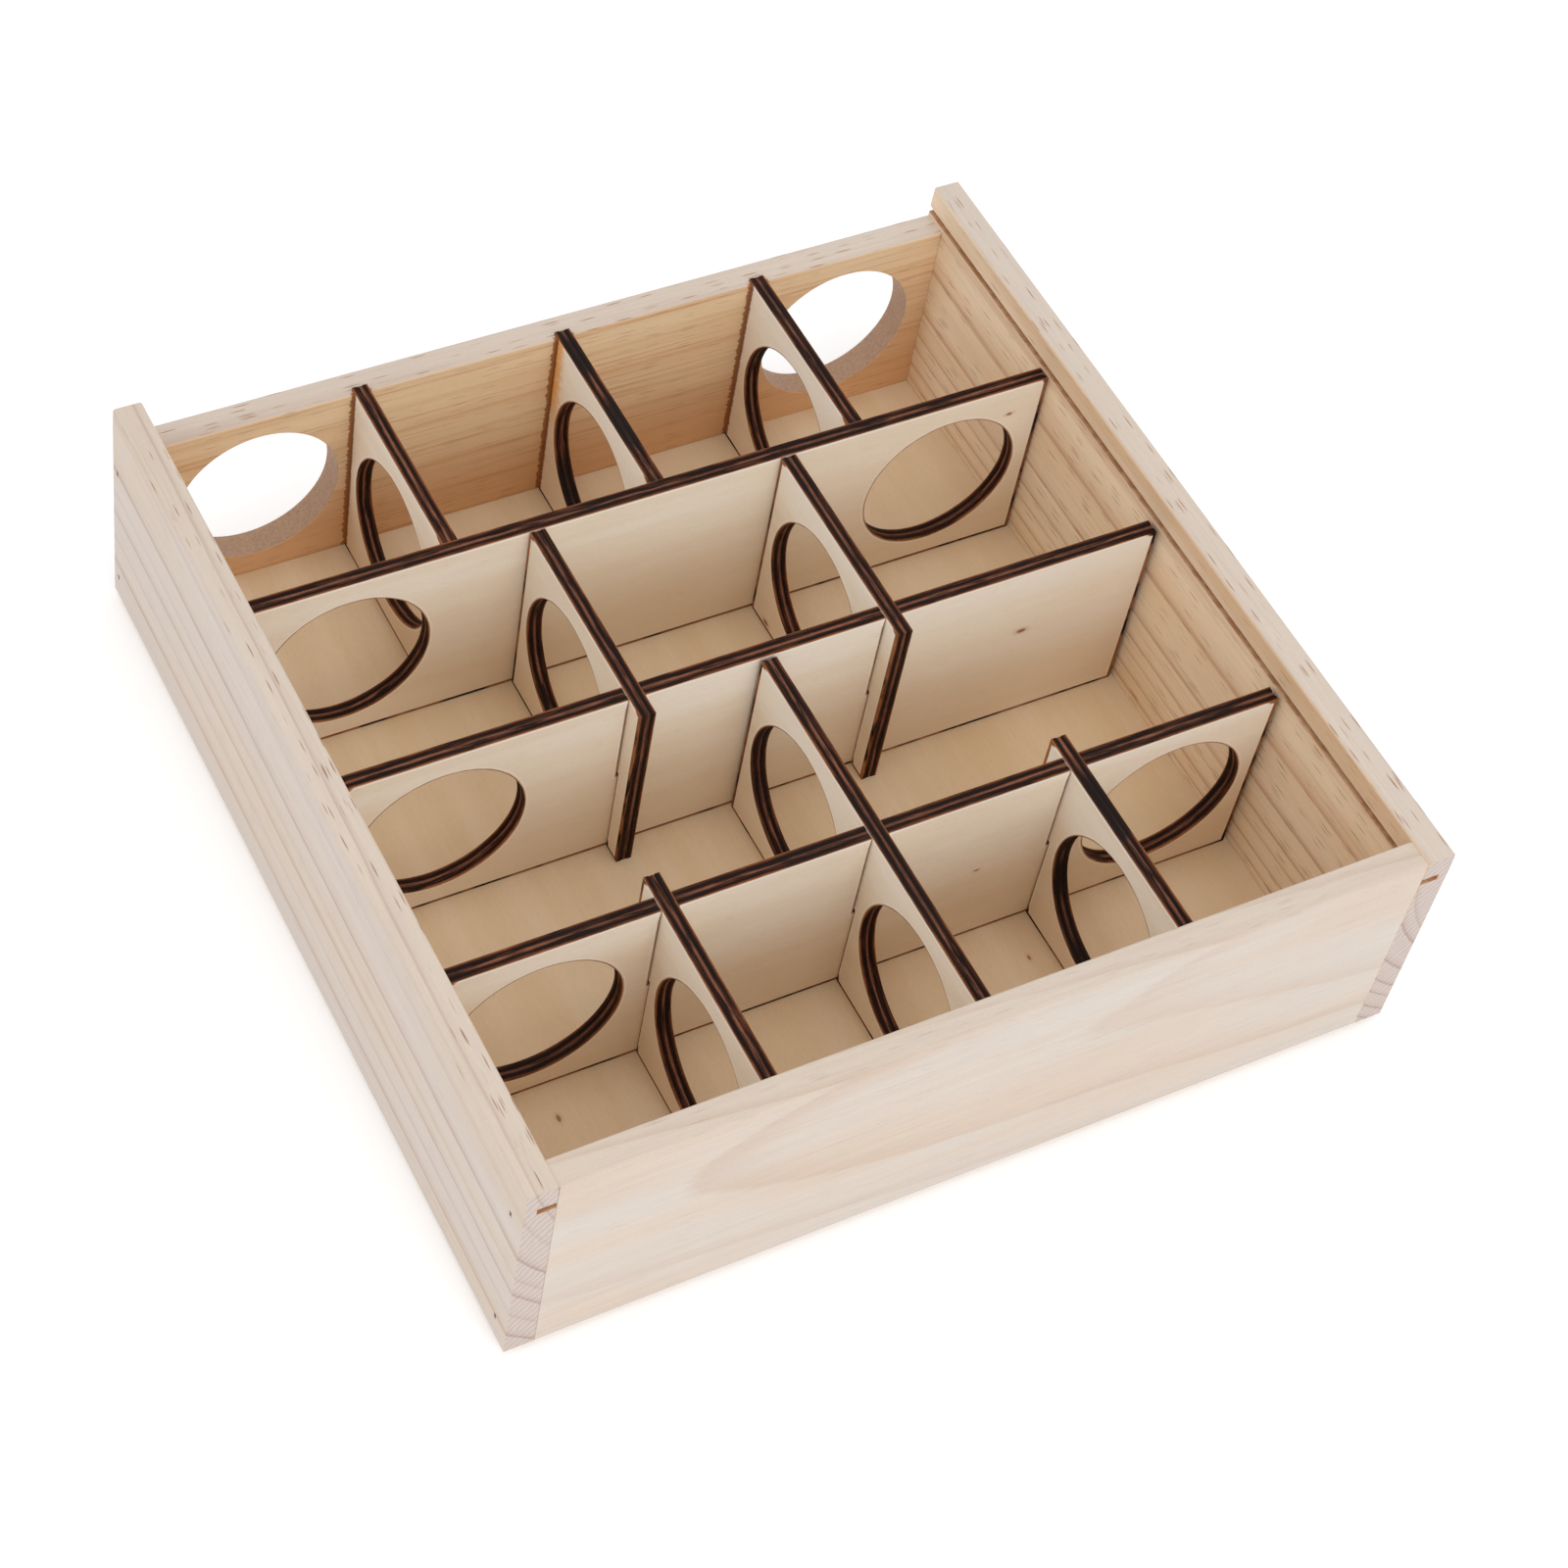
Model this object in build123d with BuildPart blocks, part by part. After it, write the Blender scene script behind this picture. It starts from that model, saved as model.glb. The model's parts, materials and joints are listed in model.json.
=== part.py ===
from build123d import *
import os

# A square, open-topped maze box. Four pine walls stand on a thin plywood floor
# and hold eleven plywood dividers that split the inside into rooms. Round holes
# join the rooms. The side walls cover the ends of the front and back walls, and
# both carry a groove for a sliding cover, which passes over the lower back wall.
#
# X runs to the right along the front wall, Y to the back and Z up. The origin is
# in the middle of the underside. All sizes are in millimetres.

# ---- outer box -----------------------------------------------------------------
box_width = 280.0
box_depth = 280.0
wall_thickness = 9.0
side_wall_height = 78.0
front_wall_height = 77.4
back_wall_height = 66.8
arris_chamfer = 0.5

floor_thickness = 3.0
floor_inset = 2.5

# ---- groove for the sliding cover, in both side walls ---------------------------
groove_height = 2.4
groove_depth = 5.6
groove_bottom = 68.2

# ---- dividers -------------------------------------------------------------------
divider_thickness = 5.0
divider_height = 67.8
door_diameter = 51.5
slot_width = 6.2
slot_side_shift = 0.3
slot_overcut = 0.5
back_wall_housing = 2.0
loose_end_gap = 1.3
fixed_end_gap = 0.5
bay_end_gap = 0.3
centre_end_gap = 1.0
front_end_gap = 0.5
stub_behind_front_row = 6.8
stub_before_middle_row = 6.8

rear_cross_y = 66.0
middle_cross_y = 0.4
front_cross_y = -66.9

back_bay_left_x = -66.2
back_bay_centre_x = -0.3
back_bay_right_x = 65.9
second_row_left_x = -41.0
second_row_right_x = 40.7
long_centre_x = -0.3
front_bay_left_x = -64.2
front_bay_right_x = 63.0

# ---- doors: where the round holes stand -----------------------------------------
cross_door_x = 98.5
front_left_door_x = -100.6
wall_door_x = 98.0
back_row_door_y = 99.8
second_row_door_y = 32.6
third_row_door_y = -33.2
front_row_door_y = -99.8

# ---- brads: thin square-shanked nails with a small T head -------------------------
brad_shank_across = 1.0
brad_shank_along = 1.2
brad_head_across = 1.2
brad_head_along = 2.2
brad_head_length = 0.9
corner_brad_length = 20.0
corner_brad_sink = 0.9
floor_brad_length = 14.0
floor_brad_sink = 0.3
corner_brad_low = 8.5
front_brad_high = 60.5
back_brad_high = 54.5
front_brad_from_end = 6.6
back_brad_from_end = 3.6
floor_brad_edge = 5.0
side_floor_brad_pitch = 90.0
end_floor_brad_pitch = 48.0

# ---- places worked out from the sizes above --------------------------------------
wall_foot = floor_thickness
inner_half_width = box_width / 2 - wall_thickness
inner_half_depth = box_depth / 2 - wall_thickness
half_divider = divider_thickness / 2
divider_mid = wall_foot + divider_height / 2
door_height = divider_mid
door_radius = door_diameter / 2
slot_depth = divider_height / 2 + slot_overcut
wall_centre_x = box_width / 2 - wall_thickness / 2
wall_centre_y = box_depth / 2 - wall_thickness / 2

os.makedirs("parts", exist_ok=True)


def write(part, name):
    """Label a finished piece and write it as a STEP file of the same name."""
    part.label = name
    export_step(part, f"parts/{name}.step")


# ---- brads -----------------------------------------------------------------------
def driven_brads(face, spots, length, sink, pocket=False):
    """Brads driven square into a face, one at each spot, as separate solids.

    A pocket is the same shape with its head carried out to the face: it is the
    hole that the sunk brads leave in the wood.
    """
    head_start = 0 if pocket else -sink
    head_end = -sink - brad_head_length
    with BuildPart() as brads:
        with BuildSketch(face.offset(head_end)):
            with Locations(*spots):
                Rectangle(brad_head_across, brad_head_along)
        extrude(amount=head_start - head_end)
        with BuildSketch(face.offset(-sink - length)):
            with Locations(*spots):
                Rectangle(brad_shank_across, brad_shank_along)
        extrude(amount=length - brad_head_length)
    return brads.part


left_face = Plane(origin=(-box_width / 2, 0, 0), x_dir=(0, -1, 0), z_dir=(-1, 0, 0))
right_face = Plane(origin=(box_width / 2, 0, 0), x_dir=(0, 1, 0), z_dir=(1, 0, 0))
underside = Plane(origin=(0, 0, 0), x_dir=(1, 0, 0), z_dir=(0, 0, -1))
underside_turned = Plane(origin=(0, 0, 0), x_dir=(0, 1, 0), z_dir=(0, 0, -1))


def corner_spots(along_face, high):
    """The two spots of one corner: a low brad and a high one, in face coordinates."""
    return [(along_face, wall_foot + corner_brad_low), (along_face, wall_foot + high)]


front_brads_y = -box_depth / 2 + front_brad_from_end
back_brads_y = box_depth / 2 - back_brad_from_end
corner_brads = {
    "front_left_brads": (left_face, corner_spots(-front_brads_y, front_brad_high)),
    "back_left_brads": (left_face, corner_spots(-back_brads_y, back_brad_high)),
    "front_right_brads": (right_face, corner_spots(front_brads_y, front_brad_high)),
    "back_right_brads": (right_face, corner_spots(back_brads_y, back_brad_high)),
}

brad_line = box_width / 2 - floor_brad_edge
end_row = [-end_floor_brad_pitch, 0, end_floor_brad_pitch]
side_row = [-side_floor_brad_pitch, 0, side_floor_brad_pitch]
floor_brads = {
    "floor_brads_front": (underside_turned, [(-brad_line, x) for x in end_row]),
    "floor_brads_back": (underside_turned, [(brad_line, x) for x in end_row]),
    "floor_brads_left": (underside, [(-brad_line, y) for y in side_row]),
    "floor_brads_right": (underside, [(brad_line, y) for y in side_row]),
}

pockets = []
for brad_name, (face, spots) in corner_brads.items():
    write(driven_brads(face, spots, corner_brad_length, corner_brad_sink), brad_name)
    pockets.append(driven_brads(face, spots, corner_brad_length, corner_brad_sink, pocket=True))
for brad_name, (face, spots) in floor_brads.items():
    write(driven_brads(face, spots, floor_brad_length, floor_brad_sink), brad_name)
    pockets.append(driven_brads(face, spots, floor_brad_length, floor_brad_sink, pocket=True))


# ---- side walls: full length, grooved on the inside --------------------------------
def side_wall(side):
    """A side wall, left for side -1 and right for side +1.

    The section is drawn across the wall and carried along its full length, so the
    groove runs out through both ends.
    """
    outer = side * box_width / 2
    inner = side * inner_half_width
    deep = side * (inner_half_width + groove_depth)
    low = wall_foot + groove_bottom
    high = low + groove_height
    top = wall_foot + side_wall_height
    ease = side * arris_chamfer
    with BuildPart() as wall:
        with BuildSketch(Plane.XZ.offset(-box_depth / 2)):
            with BuildLine():
                Polyline(
                    (outer, wall_foot),
                    (inner, wall_foot),
                    (inner, low),
                    (deep, low),
                    (deep, high),
                    (inner, high),
                    (inner, top - arris_chamfer),
                    (inner + ease, top),
                    (outer - ease, top),
                    (outer, top - arris_chamfer),
                    close=True,
                )
            make_face()
        extrude(amount=box_depth)
        add(pockets, mode=Mode.SUBTRACT)
    return wall.part


write(side_wall(-1), "left_side_wall")
write(side_wall(1), "right_side_wall")

# ---- front wall: between the side walls, as high as they are -------------------------
with BuildPart() as front_wall:
    with BuildSketch(Plane.XY.offset(wall_foot)):
        with Locations((0, -wall_centre_y)):
            Rectangle(2 * inner_half_width, wall_thickness)
    extrude(amount=front_wall_height)
    chamfer(front_wall.edges().filter_by(Axis.X).group_by(Axis.Z)[-1], arris_chamfer)
    add(pockets, mode=Mode.SUBTRACT)
write(front_wall.part, "front_wall")

# ---- back wall: lower, so that a cover can slide in over it, with two doors ----------
# Three shallow housings, open at the top, take the ends of the back bay dividers.
bay_divider_xs = [back_bay_left_x, back_bay_centre_x, back_bay_right_x]
housing_y = inner_half_depth + back_wall_housing / 2
with BuildPart() as back_wall:
    with BuildSketch(Plane.XY.offset(wall_foot)):
        with Locations((0, wall_centre_y)):
            Rectangle(2 * inner_half_width, wall_thickness)
    extrude(amount=back_wall_height)
    chamfer(back_wall.edges().filter_by(Axis.X).group_by(Axis.Z)[-1], arris_chamfer)
    with Locations(Plane.XZ.offset(-box_depth / 2)):
        with Locations((-wall_door_x, door_height), (wall_door_x, door_height)):
            Hole(door_radius)
    with BuildSketch(Plane.XY.offset(wall_foot)):
        with Locations(*[(x, housing_y) for x in bay_divider_xs]):
            Rectangle(divider_thickness, back_wall_housing)
    extrude(amount=back_wall_height, mode=Mode.SUBTRACT)
    add(pockets, mode=Mode.SUBTRACT)
write(back_wall.part, "back_wall")

# ---- floor: a thin plywood panel under all four walls ---------------------------------
with BuildPart() as floor_panel:
    with BuildSketch(Plane.XY):
        Rectangle(box_width - 2 * floor_inset, box_depth - 2 * floor_inset)
    extrude(amount=floor_thickness)
    add(pockets, mode=Mode.SUBTRACT)
write(floor_panel.part, "floor_panel")


# ---- dividers that run from side wall to side wall -------------------------------------
def cross_divider(y, end_gap, door_xs, crossing_xs):
    """A plate across the box, standing on the floor at y.

    Doors are round holes at mid height. Each crossing is a slot, open at the top
    and a little over half the height deep, that a long divider drops into.
    """
    with BuildPart() as divider:
        with BuildSketch(Plane.XZ.offset(-(y + half_divider))):
            with Locations((0, divider_mid)):
                Rectangle(2 * (inner_half_width - end_gap), divider_height)
            with Locations(*[(x, door_height) for x in door_xs]):
                Circle(door_radius, mode=Mode.SUBTRACT)
            if crossing_xs:
                slot_mid = wall_foot + divider_height - slot_depth / 2
                with Locations(*[(x - slot_side_shift, slot_mid) for x in crossing_xs]):
                    Rectangle(slot_width, slot_depth, mode=Mode.SUBTRACT)
        extrude(amount=divider_thickness)
    return divider.part


middle_crossings = [second_row_left_x, second_row_right_x]
front_crossings = [front_bay_left_x, long_centre_x, front_bay_right_x]
rear_doors = [-cross_door_x, cross_door_x]
middle_doors = [-cross_door_x]
front_doors = [front_left_door_x, cross_door_x]
write(cross_divider(rear_cross_y, fixed_end_gap, rear_doors, []), "rear_cross_divider")
write(
    cross_divider(middle_cross_y, loose_end_gap, middle_doors, middle_crossings),
    "middle_cross_divider",
)
write(
    cross_divider(front_cross_y, loose_end_gap, front_doors, front_crossings),
    "front_cross_divider",
)


# ---- dividers that run from front to back ------------------------------------------------
def long_divider(x, y_front, y_back, door_ys, crossing_y=None):
    """A plate along the box, standing on the floor at x, from y_front to y_back.

    Where it crosses a cross divider it has a slot open at the bottom, so that it
    drops over that plate and its own top edge stays whole.
    """
    with BuildPart() as divider:
        with BuildSketch(Plane.YZ.offset(x - half_divider)):
            with Locations(((y_front + y_back) / 2, divider_mid)):
                Rectangle(y_back - y_front, divider_height)
            with Locations(*[(y, door_height) for y in door_ys]):
                Circle(door_radius, mode=Mode.SUBTRACT)
            if crossing_y is not None:
                with Locations((crossing_y, wall_foot + slot_depth / 2)):
                    Rectangle(slot_width, slot_depth, mode=Mode.SUBTRACT)
        extrude(amount=divider_thickness)
    return divider.part


back_bay_names = ["back_bay_divider_left", "back_bay_divider_centre", "back_bay_divider_right"]
bay_front = rear_cross_y + half_divider
bay_back = inner_half_depth + back_wall_housing
for divider_name, x in zip(back_bay_names, bay_divider_xs):
    write(long_divider(x, bay_front, bay_back, [back_row_door_y]), divider_name)

second_row_dividers = {
    "second_row_divider_left": second_row_left_x,
    "second_row_divider_right": second_row_right_x,
}
for divider_name, x in second_row_dividers.items():
    stub_front = middle_cross_y - half_divider - stub_before_middle_row
    row_back = rear_cross_y - half_divider - bay_end_gap
    write(
        long_divider(x, stub_front, row_back, [second_row_door_y], middle_cross_y),
        divider_name,
    )

front_end = -inner_half_depth + front_end_gap
centre_back = middle_cross_y - half_divider - centre_end_gap
centre_doors = [front_row_door_y, third_row_door_y]
write(
    long_divider(long_centre_x, front_end, centre_back, centre_doors, front_cross_y),
    "long_centre_divider",
)

front_bay_dividers = {
    "front_bay_divider_left": front_bay_left_x,
    "front_bay_divider_right": front_bay_right_x,
}
for divider_name, x in front_bay_dividers.items():
    stub_back = front_cross_y + half_divider + stub_behind_front_row
    write(
        long_divider(x, front_end, stub_back, [front_row_door_y], front_cross_y),
        divider_name,
    )
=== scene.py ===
"""A slotted wooden maze box: four pine walls, a plywood floor and eleven laser-cut plywood dividers.

Sizes are in millimetres in the box's own frame: X runs to the right along the front wall, Y to the
back and Z up, from the middle of the underside. MM turns them into metres where a mesh is made.
"""
import json
import logging
import math
from dataclasses import dataclass, field
from enum import Enum
from itertools import pairwise

import bpy
import numpy as np
from mathutils import Matrix, Vector


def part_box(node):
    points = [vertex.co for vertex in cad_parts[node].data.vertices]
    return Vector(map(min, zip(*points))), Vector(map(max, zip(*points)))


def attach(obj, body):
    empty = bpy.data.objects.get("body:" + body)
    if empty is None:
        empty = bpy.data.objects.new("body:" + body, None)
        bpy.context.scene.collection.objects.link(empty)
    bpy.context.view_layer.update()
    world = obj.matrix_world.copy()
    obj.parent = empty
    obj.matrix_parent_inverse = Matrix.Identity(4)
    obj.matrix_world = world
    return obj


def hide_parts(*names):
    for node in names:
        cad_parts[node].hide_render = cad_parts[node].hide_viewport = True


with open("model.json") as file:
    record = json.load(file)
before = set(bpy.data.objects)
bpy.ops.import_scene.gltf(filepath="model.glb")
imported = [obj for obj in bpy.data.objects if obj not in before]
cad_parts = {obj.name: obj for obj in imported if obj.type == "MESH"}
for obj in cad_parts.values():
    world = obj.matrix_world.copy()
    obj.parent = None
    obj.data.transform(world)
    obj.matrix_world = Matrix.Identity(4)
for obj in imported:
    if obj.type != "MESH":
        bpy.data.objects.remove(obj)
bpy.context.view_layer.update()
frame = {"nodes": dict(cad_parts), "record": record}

MM = 0.001
WELD_DECIMALS = 5
SHARP_ANGLE = math.radians(32)
TOUCHING = 1e-6
log = logging.getLogger("maze_box")

Socket = bpy.types.NodeSocket
Colour = tuple[float, float, float, float]
Value = Socket | float | Colour
Block = tuple[np.ndarray, np.ndarray]
WHITE = (1.0, 1.0, 1.0, 1.0)


class Run(Enum):
    """Which way the length of a board or plate runs."""

    ACROSS = 0
    DEEP = 1


class SlotMouth(Enum):
    """Which edge of a plate a halving slot is open at."""

    TOP = "top"
    BOTTOM = "bottom"


def tint(code: str) -> Colour:
    """A shader colour from the six digits that paint charts give.

    Args:
        code: Red, green and blue as two hexadecimal digits each.

    Returns:
        The colour in linear light, with full cover.
    """
    shares = np.array([int(code[i:i + 2], 16) for i in (0, 2, 4)]) / 255
    linear = np.where(shares <= 0.04045, shares / 12.92, ((shares + 0.055) / 1.055) ** 2.4)
    return (*(float(x) for x in linear), 1.0)


def grey(level: float) -> Colour:
    """A grey of that level in linear light."""
    return (level, level, level, 1.0)


def node_box(node: str) -> Block:
    """Lowest and highest corner of a CAD node, in millimetres."""
    low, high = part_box(node)
    return np.array(low) / MM, np.array(high) / MM


def mount_of(name: str) -> dict:
    """A mount of the record, by its name."""
    return next(m for m in frame["record"]["mounts"] if m["name"] == name)


def mount_place(name: str) -> np.ndarray:
    """Where a mount of the record stands, in millimetres."""
    return np.array(mount_of(name)["pos_m"]) / MM


def middle_of(node: str, axis: int) -> float:
    """The middle of a CAD node on one axis, in millimetres."""
    low, high = node_box(node)
    return float(low[axis] + high[axis]) / 2


# ---- flat faces, with doors and slots left out ------------------------------------------------


@dataclass(frozen=True)
class Door:
    """A round hole: its centre along the piece, its height and its radius."""

    centre: float
    height: float
    radius: float


@dataclass(frozen=True)
class Slot:
    """A halving slot: its centre along the piece, its width and depth, and its open edge."""

    centre: float
    width: float
    depth: float
    mouth: SlotMouth


@dataclass(frozen=True)
class Patchwork:
    """A flat face as points in its plane and the corner numbers of its squares."""

    points: np.ndarray
    squares: np.ndarray


def steps(low: float, high: float, step: float) -> np.ndarray:
    """Evenly spaced places from low to high, no further apart than step."""
    return np.linspace(low, high, max(1, math.ceil((high - low) / step)) + 1)


def grid_squares(rows: int, columns: int) -> np.ndarray:
    """Corner numbers of a grid whose points are counted along its columns first.

    The square at row r and column c has corners (r, c), (r + 1, c), (r + 1, c + 1) and (r, c + 1).

    Args:
        rows: How many rows of points there are.
        columns: How many points a row has.

    Returns:
        One row of four point numbers for each square.
    """
    corner = np.arange(rows * columns).reshape(rows, columns)
    return np.stack(
        [corner[:-1, :-1], corner[1:, :-1], corner[1:, 1:], corner[:-1, 1:]], axis=-1
    ).reshape(-1, 4)


def weld(patches: list[Patchwork]) -> Patchwork:
    """Joins patches that share points into one face.

    Args:
        patches: Patches whose neighbouring borders have the same points.

    Returns:
        One face in which each place is one point.
    """
    offsets = np.cumsum([0] + [len(p.points) for p in patches[:-1]])
    points = np.concatenate([p.points for p in patches])
    squares = np.concatenate([p.squares + n for p, n in zip(patches, offsets)])
    places, number = np.unique(np.round(points, WELD_DECIMALS), axis=0, return_inverse=True)
    return Patchwork(places, number.reshape(-1)[squares])


@dataclass(frozen=True)
class FaceLayout:
    """Lays out the face of a plate as upright strips, each plain, slotted or round a door."""

    start: float
    end: float
    foot: float
    top: float
    doors: tuple[Door, ...] = ()
    slots: tuple[Slot, ...] = ()
    inset: float = 1.0
    step: float = 2.5
    door_margin: float = 4.0
    door_rings: int = 4

    def slot_end(self, slot: Slot) -> float:
        """The height at which a slot stops, drawn back by the inset.

        Args:
            slot: The slot.

        Returns:
            The height.
        """
        if slot.mouth is SlotMouth.TOP:
            return self.top - slot.depth - self.inset
        return self.foot + slot.depth + self.inset

    def levels(self) -> np.ndarray:
        """Heights of the grid lines.

        Returns:
            The heights, with one at the end of each slot.
        """
        stops = {self.foot + self.inset, self.top - self.inset}
        stops |= {self.slot_end(slot) for slot in self.slots}
        spans = [steps(low, high, self.step) for low, high in pairwise(sorted(stops))]
        return np.unique(np.concatenate(spans))

    def plain(self, low: float, high: float, heights: np.ndarray) -> Patchwork:
        """A plain strip, as a grid with even steps along it.

        Args:
            low: Where the strip starts.
            high: Where it ends.
            heights: The heights of the grid lines.

        Returns:
            The strip.
        """
        along, up = np.meshgrid(steps(low, high, self.step), heights, indexing="ij")
        points = np.stack([along, up], axis=-1).reshape(-1, 2)
        return Patchwork(points, grid_squares(*along.shape))

    def round_door(self, low: float, high: float, heights: np.ndarray, door: Door) -> Patchwork:
        """A strip round a door.

        A point is given by its turn about the door and its reach from 0 at the hole to 1 at the
        border of the strip: hole(turn) x (1 - reach) + border(turn) x reach. The hole's point lies
        on the line from the door's centre to the border's point.

        Args:
            low: Where the strip starts.
            high: Where it ends.
            heights: The heights of the grid lines at its sides.
            door: The door.

        Returns:
            The strip.
        """
        across = steps(low, high, self.step)
        bottom = np.stack([across, np.full_like(across, heights[0])], axis=1)
        right = np.stack([np.full_like(heights, high), heights], axis=1)
        top = np.stack([across[::-1], np.full_like(across, heights[-1])], axis=1)
        left = np.stack([np.full_like(heights, low), heights[::-1]], axis=1)
        border = np.concatenate([bottom[:-1], right[:-1], top[:-1], left[:-1], bottom[:1]])
        centre = np.array([door.centre, door.height])
        spoke = border - centre
        unit = spoke / np.linalg.norm(spoke, axis=1, keepdims=True)
        hole = centre + unit * (door.radius + self.inset)
        reach = np.linspace(0, 1, self.door_rings + 1)[:, None, None]
        points = hole * (1 - reach) + border * reach
        return Patchwork(points.reshape(-1, 2), grid_squares(len(reach), len(border)))

    def slot_strip(self, slot: Slot) -> tuple[float, float]:
        """Where the strip of a slot starts and ends."""
        reach = slot.width / 2
        return slot.centre - reach - self.inset, slot.centre + reach + self.inset

    def solid_part(self, slot: Slot, heights: np.ndarray) -> np.ndarray:
        """The heights at which a slot's strip still has wood.

        Args:
            slot: The slot.
            heights: The heights of the grid lines.

        Returns:
            The heights beyond the end of the slot.
        """
        if slot.mouth is SlotMouth.TOP:
            return heights[heights <= self.slot_end(slot)]
        return heights[heights >= self.slot_end(slot)]

    def build(self) -> Patchwork:
        """Lays the strips side by side and welds them.

        A door's strip reaches past the door by the margin, but stops short of the strip before it,
        of a slot that follows and of the end of the plate.

        Returns:
            The whole face.
        """
        heights = self.levels()
        last = self.start + self.inset
        finish = self.end - self.inset
        holes = sorted([*self.doors, *self.slots], key=lambda hole: hole.centre)
        patches = []
        for hole, following in zip(holes, [*holes[1:], None]):
            if isinstance(hole, Slot):
                low, high = self.slot_strip(hole)
                strip = self.plain(low, high, self.solid_part(hole, heights))
            else:
                limit = self.slot_strip(following)[0] if isinstance(following, Slot) else finish
                reach = hole.radius + self.inset + self.door_margin
                low, high = max(last, hole.centre - reach), min(limit, hole.centre + reach)
                strip = self.round_door(low, high, heights, hole)
            if low > last:
                patches.append(self.plain(last, low, heights))
            patches.append(strip)
            last = high
        if last < finish:
            patches.append(self.plain(last, finish, heights))
        return weld(patches)


# ---- rims: how a face turns over into the opposite face ------------------------------------------


@dataclass(frozen=True)
class RimRings:
    """Rings of points from one face to the other: one row a ring, one column a border point."""

    inset: np.ndarray
    across: np.ndarray
    char: np.ndarray


@dataclass(frozen=True)
class SandedRim:
    """The edge of a pine board: arrises rounded with sandpaper, the top ones a little more."""

    arris: float = 0.3
    top_arris: float = 0.75
    arc_steps: int = 4
    support: float = 0.05

    def rings(self, outline: np.ndarray, half: float) -> RimRings:
        """Rings of a rounded edge.

        With radius r, the arc's point at angle a stands r x (1 - sin a) inside the outline and
        r x (1 - cos a) below the face, from a = 0 at the face to a = 90 degrees on the edge.

        Args:
            outline: The border points, as (along, up).
            half: Half the board's thickness.

        Returns:
            The rings from the front face to the back face.
        """
        at_top = outline[:, 1] > outline[:, 1].max() - TOUCHING
        radius = np.where(at_top, self.top_arris, self.arris)[None, :]
        turn = np.linspace(0, math.pi / 2, self.arc_steps + 1)[:, None]
        inset = radius * (1 - np.sin(turn))
        drop = radius * (1 - np.cos(turn))
        inset = np.concatenate([inset[:1] + self.support, inset, inset[-1:]])
        drop = np.concatenate([drop[:1], drop, drop[-1:] + self.support])
        inset = np.concatenate([inset, inset[::-1]])
        across = np.concatenate([half - drop, drop[::-1] - half])
        return RimRings(inset, across, np.zeros_like(inset))


@dataclass(frozen=True)
class LaserRim:
    """The edge of laser-cut plywood: three plies, with the core burnt back a little further.

    The stations run from the face to the middle of the core, as how far in from the outline, how
    far below the face, how burnt the wood is on the top arris, and how burnt it is on the foot and
    the ends. The top arris is burnt only lightly, so that a painted highlight band shows beside it.
    The foot and the ends are burnt dark close to the face: partly their own soot, partly painted
    contact shade where the plates meet the floor and the walls. Burnt runs from 0, bare, to 1,
    char. On doors and slots the top arris's burn is made stronger by a factor.
    """

    browning: float = 2.3
    stations: tuple[tuple[float, float, float, float], ...] = (
        (1.40, 0.00, 0.00, 0.14),
        (1.15, 0.00, 0.00, 0.56),
        (0.85, 0.00, 0.11, 0.92),
        (0.52, 0.00, 0.15, 1.00),
        (0.24, 0.00, 0.24, 1.00),
        (0.06, 0.04, 0.46, 1.00),
        (0.00, 0.20, 0.72, 1.00),
        (0.00, 0.50, 0.95, 1.00),
        (0.03, 0.95, 1.00, 1.00),
        (0.00, 1.50, 1.00, 1.00),
        (0.15, 1.68, 1.00, 1.00),
        (0.11, 2.10, 1.00, 1.00),
    )

    def rings(self, outline: np.ndarray, half: float) -> RimRings:
        """Rings of a burnt edge, mirrored about the core.

        Args:
            outline: The border points, as (along, up).
            half: Half the plate's thickness.

        Returns:
            The rings from the front face to the back face.
        """
        inset, drop, highlit_arris, sooty = np.array(self.stations).T[:, :, None]
        low, high = outline.min(axis=0), outline.max(axis=0)
        at_foot = outline[:, 1] < low[1] + TOUCHING
        at_end = (outline[:, 0] < low[0] + TOUCHING) | (outline[:, 0] > high[0] - TOUCHING)
        at_top = outline[:, 1] > high[1] - TOUCHING
        browned = np.minimum(highlit_arris * self.browning, 1.0)
        # The top arris keeps a light burn, so that the painted highlight band shows beside it.
        char = np.where(at_top[None, :], highlit_arris, browned)
        # Foot and ends: dark burn close to the face, partly soot, partly painted contact shade where
        # the plates meet the floor and the walls.
        char = np.where((at_foot | at_end)[None, :], sooty, char)
        spread = np.ones((1, len(outline)))
        inset = np.concatenate([inset, inset[::-1]]) * spread
        across = np.concatenate([half - drop, drop[::-1] - half]) * spread
        return RimRings(inset, across, np.concatenate([char, char[::-1]]))


# ---- slabs: a flat face, given its thickness -------------------------------------------------------


@dataclass
class Slab:
    """A closed slab in millimetres, with a burn and a ply value at each point."""

    points: np.ndarray
    squares: np.ndarray
    char: np.ndarray
    ply: np.ndarray


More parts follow.
